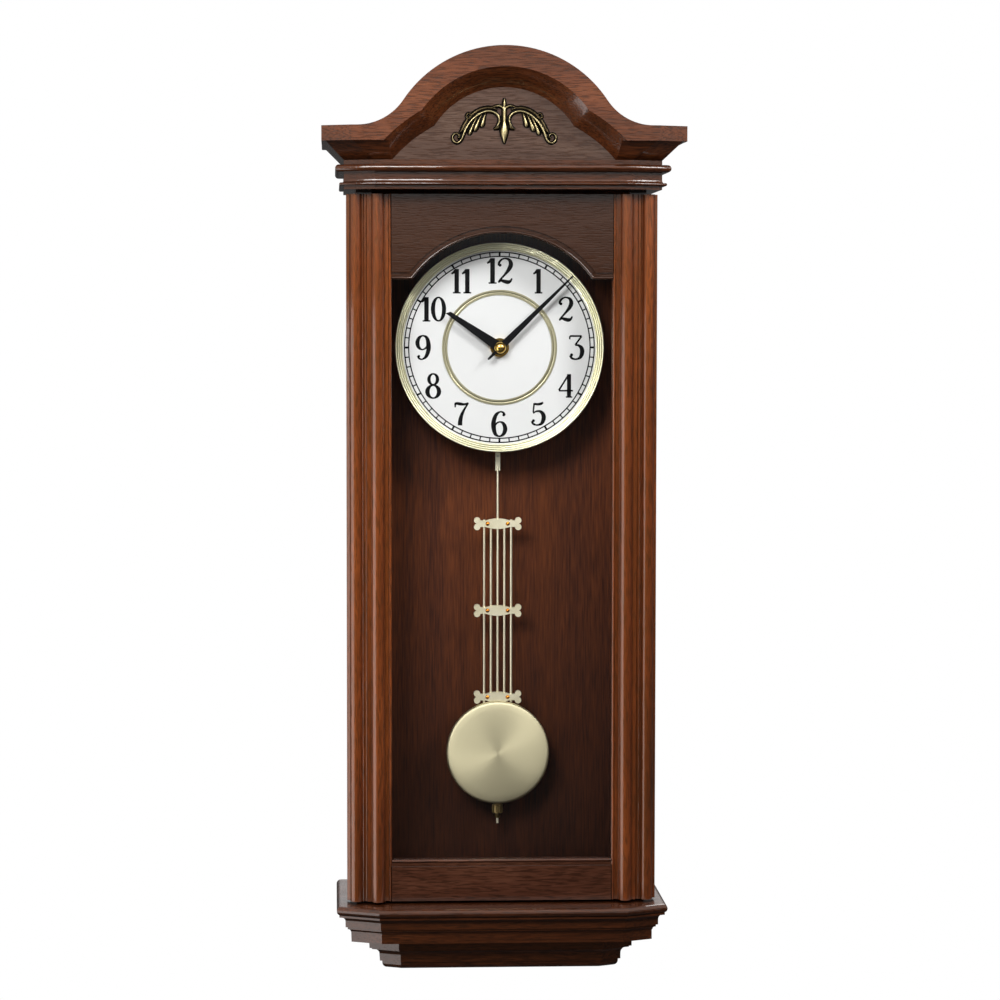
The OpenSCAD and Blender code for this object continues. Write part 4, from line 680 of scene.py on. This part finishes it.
def draw_figure(shape, figure, left, low, height):
    """Inks one figure with its left edge and its foot at this place on the dial."""
    def at(x, z):
        return left + x * height, low + z * height

    parts = FIGURES[figure]
    for knots in parts.get("strokes", []):
        line = through(knots)
        rows = []
        for i, p in enumerate(line):
            ahead = line[min(i + 1, len(line) - 1)] - line[max(i - 1, 0)]
            across = Vector((-ahead.y, ahead.x)).normalized() * (p.z + INK_SPREAD)
            rows.append([at(p.x - across.x, p.y - across.y),
                         at(p.x + across.x, p.y + across.y)])
        slab(shape, rows)
    for x, z, r in parts.get("dots", []):
        circle_line(shape, at(x, z), (DOT_HOLE * r * height,) * 2, (r * height,) * 2,
                    DOT_STEPS)
    for x, z, across, high, thick, thin in parts.get("ovals", []):
        thick, thin = thick + INK_SPREAD, thin + INK_SPREAD
        inner = ((across - thick) * height, (high - thin) * height)
        outer = ((across + thick) * height, (high + thin) * height)
        circle_line(shape, at(x, z), inner, outer, OVAL_STEPS)


def numerals(shape):
    """The hours, upright, each with the middle of its box on one circle."""
    for hour in range(1, 13):
        a = math.tau * hour / 12
        height = FIGURE_H.get(hour, USUAL_H) * MM
        text = str(hour)
        wide = (sum(FIGURE_BOX[c] for c in text) + FIGURE_GAP * (len(text) - 1)) * height
        left = dial_centre.x + FIGURE_R * math.sin(a) - wide / 2
        low = dial_centre.z + FIGURE_R * math.cos(a) - height / 2
        for figure in text:
            draw_figure(shape, figure, left, low, height)
            left += (FIGURE_BOX[figure] + FIGURE_GAP) * height


piece_from("minute_track", minute_track, ink_black, "case")
piece_from("numerals", numerals, ink_black, "case")


# Spun bob

# Its section from the middle to the rim: (radius, setback from its front), in mm
BOB_SECTION = [(0, 0), (8, .08), (16, .30), (24, .68), (31, 1.18), (35.2, 1.65),
               (36.6, 2.0), (37.3, 2.7), (37.5, 3.6), (37.5, 4.6)]
BOB_SHEET = 0.5          # thickness of the sheet that the bob is spun from, in mm
RIM_FROM, RIM_END = 2, 4       # setbacks between which the sheet turns back, in mm
BOB_STEPS = 144


def spun_disc(shape):
    """Closed shell of revolution about the bob's axis: the front skin and its back."""
    inner = [(max(r - BOB_SHEET * (back > RIM_FROM), 0),
              back + BOB_SHEET * (back < RIM_END)) for r, back in BOB_SECTION]
    turned = []
    for r, back in BOB_SECTION + inner[::-1]:
        y = bob_low.y + back * MM
        if r == 0:
            turned.append([shape.verts.new((bob_centre.x, y, bob_centre.z))] * BOB_STEPS)
            continue
        turned.append([shape.verts.new((
            bob_centre.x + r * MM * math.cos(math.tau * i / BOB_STEPS), y,
            bob_centre.z + r * MM * math.sin(math.tau * i / BOB_STEPS)))
            for i in range(BOB_STEPS)])
    for a, b in zip(turned, turned[1:]):
        for i in range(BOB_STEPS):
            j = (i + 1) % BOB_STEPS
            corners = [a[i], a[j], b[j], b[i]]
            shape.faces.new([c for n, c in enumerate(corners) if c not in corners[:n]])


bob = piece_from("spun_bob", spun_disc, bob_face, "bob")
bob.data.shade_smooth()
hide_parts("bob_shell")


# Cast ornament

# Right half of the casting in mm from its foot on the middle line. Each ridge is knots of
# (x, up, half width, rise from the panel); the left half is its mirror image.
ORNAMENT_RIDGES = [
    # arm, from the hook by the spear over the top and down into the volute
    [(6.4, 11.4, .35, 1.6), (4.6, 13.2, .8, 2.3), (3.4, 17.0, .8, 2.5),
     (4.6, 20.4, .95, 2.6), (7.4, 22.4, .95, 2.6), (11.2, 23.1, .95, 2.6),
     (15.5, 22.0, .95, 2.6), (20.0, 19.2, .95, 2.6), (23.8, 15.4, .95, 2.6),
     (26.6, 11.0, .95, 2.6), (28.4, 6.8, .95, 2.6), (30.0, 3.0, .75, 2.4),
     (32.6, 1.2, .75, 2.3), (35.2, 2.4, .7, 2.3), (36.0, 5.0, .6, 2.3),
     (34.4, 7.4, .55, 2.2), (32.0, 7.2, .5, 2.1), (31.2, 5.3, .45, 2.0),
     (32.6, 4.3, .35, 1.8)],
    # low shell behind the arm
    [(4.6, 24.0, .6, 1.0), (8.0, 25.0, 1.0, 1.3), (12.5, 25.2, 1.2, 1.3),
     (17.6, 23.7, 1.3, 1.3), (22.6, 20.2, 1.3, 1.3), (26.6, 15.2, 1.3, 1.3),
     (29.3, 10.0, 1.2, 1.3), (31.0, 8.2, .6, 1.0)],
    # small curl on the back of the arm
    [(23.0, 18.8, .45, 1.6), (25.2, 18.0, .5, 1.9), (26.4, 19.6, .5, 1.9),
     (25.4, 21.4, .5, 1.9), (23.7, 21.0, .45, 1.8), (23.8, 19.9, .35, 1.6)],
    # three leaflets under the arm
    [(13.0, 21.6, .40, 1.8), (14.0, 18.6, .9, 2.3), (15.0, 15.2, 1.5, 2.6),
     (15.4, 13.0, 1.5, 2.4), (15.2, 11.7, .6, 1.4)],
    [(15.8, 20.6, .40, 1.8), (17.6, 16.8, .9, 2.3), (19.4, 12.6, 1.5, 2.6),
     (20.2, 10.2, 1.5, 2.4), (20.2, 8.8, .6, 1.4)],
    [(18.8, 19.2, .40, 1.8), (21.2, 14.6, .8, 2.3), (23.2, 10.0, 1.2, 2.6),
     (24.0, 7.6, 1.2, 2.4), (24.1, 6.3, .5, 1.4)],
    # leaf that lies across the spear's neck
    [(0.2, 24.4, .6, 2.3), (2.2, 26.2, .8, 2.4), (5.2, 26.7, .75, 2.0),
     (9.4, 25.2, .25, 1.2)],
    # tip of the hook, flared like a fin
    [(4.0, 14.4, .5, 1.8), (4.6, 11.6, 1.0, 1.9), (7.6, 10.7, .35, 1.2)],
]
ORNAMENT_SPEAR = [
    [(0, 0.3, .2, 1.6), (0, 3.0, 1.2, 2.6), (0, 6.4, 2.3, 3.2), (0, 9.6, 2.9, 3.3),
     (0, 12.4, 2.2, 3.2), (0, 15.2, 1.5, 2.9), (0, 19.0, 1.45, 2.8), (0, 23.6, 1.5, 2.8),
     (0, 25.6, .9, 2.5)],
    [(0, 24.6, .7, 2.4), (0, 27.6, 1.25, 2.9), (0, 30.2, .8, 2.5), (0, 32.3, .25, 1.6)],
]
RIDGE_SIDES = 7          # points over the top of a ridge's section
FLANGE_OUT, FLANGE_RISE = 0.8, 0.7     # low edge round each ridge, in mm
CAST_DETAIL = 0.3 * MM   # finest detail of the casting


def ridge(shape, knots, flip):
    """A half-round ridge on the panel, closed underneath, through knots in mm."""
    rows = []
    line = through(knots)
    for i, p in enumerate(line):
        ahead = line[min(i + 1, len(line) - 1)] - line[max(i - 1, 0)]
        across = Vector((-ahead[1], ahead[0])).normalized()
        row = []
        for k in range(RIDGE_SIDES):
            a = math.pi * k / (RIDGE_SIDES - 1)
            x = p[0] + across.x * math.cos(a) * p[2]
            z = p[1] + across.y * math.cos(a) * p[2]
            row.append(shape.verts.new((
                flip * x * MM, ornament_high.y - p[3] * math.sin(a) * MM,
                ornament_low.z + z * MM)))
        rows.append(row)
    for a, b in zip(rows, rows[1:]):
        for k in range(RIDGE_SIDES):
            n = (k + 1) % RIDGE_SIDES
            shape.faces.new((a[k], b[k], b[n], a[n]))
    shape.faces.new(rows[0])
    shape.faces.new(rows[-1])


def ornament(shape):
    """The spear and both arms. Each ridge stands on the low dark edge of the casting."""
    for ridges, flips in ((ORNAMENT_SPEAR, (1,)), (ORNAMENT_RIDGES, (-1, 1))):
        for knots in ridges:
            flange = [(x, z, half + FLANGE_OUT, FLANGE_RISE) for x, z, half, _ in knots]
            for flip in flips:
                ridge(shape, knots, flip)
                ridge(shape, flange, flip)


casting = piece_from("cast_ornament", ornament, bronze, "case")
skin = casting.modifiers.new("one_casting", "REMESH")
skin.mode = "VOXEL"
skin.voxel_size = CAST_DETAIL
skin.use_smooth_shade = True
melt = casting.modifiers.new("melted_corners", "SMOOTH")
melt.factor, melt.iterations = 0.5, 2
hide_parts("pediment_ornament")


# Floor

FLOOR_HALF, FLOOR_DROP = 1.3, 1.0      # metres: the clock hangs this far above the floor

# floor paint: an even off-white that keeps the clock's shadow
floor_paint = smooth_coat("paint_white_rolled", "#f1f1ef", "#ececea", 0.7, 300, 0.05)
floor_low = cad_box[0].z - FLOOR_DROP
floor_sheet = bpy.data.meshes.new("floor")
floor_sheet.from_pydata(
    [(x * FLOOR_HALF, y * FLOOR_HALF, floor_low)
     for x, y in ((-1, -1), (1, -1), (1, 1), (-1, 1))], [], [(0, 1, 2, 3)])
floor_sheet.materials.append(floor_paint)
floor = bpy.data.objects.new("floor", floor_sheet)
bpy.context.scene.collection.objects.link(floor)
floor.visible_glossy = False


# Studio light

def softbox(name, place, aim, size, power, spread):
    """A lamp turned to its aim, in metres and watts, with a grid that narrows its beam."""
    lamp = bpy.data.lights.new(name, "AREA")
    lamp.shape = "RECTANGLE"
    lamp.size, lamp.size_y = size
    lamp.energy = power
    lamp.spread = math.radians(spread)
    lamp_object = bpy.data.objects.new(name, lamp)
    turn = (Vector(aim) - Vector(place)).to_track_quat("-Z", "Y")
    lamp_object.matrix_world = Matrix.Translation(place) @ turn.to_matrix().to_4x4()
    bpy.context.scene.collection.objects.link(lamp_object)
    return lamp_object


DIAL_AND_GLASS = (0, -0.06, -0.15)
softbox("fill_right", (0.92, -1.02, 0.66), DIAL_AND_GLASS, (0.4, 0.5), power=3.3, spread=90)
softbox("key_left", (-0.56, -1.46, 0.60), DIAL_AND_GLASS, (0.6, 0.5), power=5.8, spread=90)
softbox("overhead", (0.10, -1.2, 0.95), (0, -0.05, 0.0), (1.6, 0.5), power=0.8, spread=90)
# seen only in the lacquer and the metal, as long highlights down their left sides
sheen = softbox("sheen_left", (-1.30, -0.55, -0.75), (0, -0.06, -0.50), (1.5, 1.35),
                power=19, spread=180)
sheen.visible_diffuse = False
# lights the back and the top, for the views from behind
softbox("behind", (0.35, 1.5, 1.1), (0, 0, -0.2), (1.2, 1.0), power=22, spread=180)

world = bpy.data.worlds.new("studio")
bpy.context.scene.world = world
world.use_nodes = True
tree = world.node_tree
tree.nodes.clear()
path = add(tree, "ShaderNodeLightPath")
way = add(tree, "ShaderNodeSeparateXYZ", inputs={
    "Vector": add(tree, "ShaderNodeTexCoord").outputs["Generated"]})
# metal and lacquer see the white behind the clock, and before it a dim room whose
# upper half is lit
upper = add(tree, "ShaderNodeMapRange", inputs={
    "Value": way.outputs["Z"], "From Min": 0.012, "From Max": 0.055,
    "To Min": 0.05, "To Max": 1.1})
behind = add(tree, "ShaderNodeMapRange", inputs={
    "Value": way.outputs["Z"], "From Min": 0.12, "From Max": 0.20,
    "To Min": 0.06, "To Max": 0.80})
rear = add(tree, "ShaderNodeMath", {"operation": "GREATER_THAN"}, {
    0: way.outputs["Y"], 1: 0.0})
room = add(tree, "ShaderNodeMix", {"data_type": "FLOAT"}, {
    FACTOR: rear.outputs[0], NUMBER_A: upper.outputs[0], NUMBER_B: behind.outputs[0]})
sees = add(tree, "ShaderNodeMix", {"data_type": "FLOAT"}, {
    FACTOR: path.outputs["Is Glossy Ray"], NUMBER_A: 0.14, NUMBER_B: room.outputs[0]})
# what the camera sees, directly or through glass, is plain white
direct = add(tree, "ShaderNodeMath", {"operation": "MAXIMUM"}, {
    0: path.outputs["Is Camera Ray"], 1: path.outputs["Is Transmission Ray"]})
level = add(tree, "ShaderNodeMix", {"data_type": "FLOAT"}, {
    FACTOR: direct.outputs[0], NUMBER_A: sees.outputs[0], NUMBER_B: 1.0})
air = add(tree, "ShaderNodeBackground", inputs={
    "Color": WHITE, "Strength": level.outputs[0]})
add(tree, "ShaderNodeOutputWorld", inputs={"Surface": air.outputs[0]})


# Camera: 1.9 m away, 3.6 degrees to the left and 3.1 degrees above, turned a little
# towards square on the front, which the sideways shift makes up for

AZIMUTH, ELEVATION, DISTANCE = math.radians(-3.6), math.radians(3.068), 1.9
TURN_BACK = math.radians(1.29)
AIM = Vector((-0.00026, -0.060, -0.1999))      # near the middle of the clock


def outward(azimuth):
    """The way from the clock to the camera."""
    return Vector((math.sin(azimuth) * math.cos(ELEVATION),
                   -math.cos(azimuth) * math.cos(ELEVATION), math.sin(ELEVATION)))


look = -outward(AZIMUTH + TURN_BACK)
camera = bpy.data.cameras.new("camera")
camera.lens = 95.87
camera.sensor_width = 36
camera.shift_x, camera.shift_y = 0.06, -0.04
camera_object = bpy.data.objects.new("camera", camera)
camera_object.matrix_world = (Matrix.Translation(AIM + outward(AZIMUTH) * DISTANCE)
                              @ look.to_track_quat("-Z", "Y").to_matrix().to_4x4())
bpy.context.scene.collection.objects.link(camera_object)
bpy.context.scene.camera = camera_object

bpy.context.scene.view_settings.view_transform = "Standard"
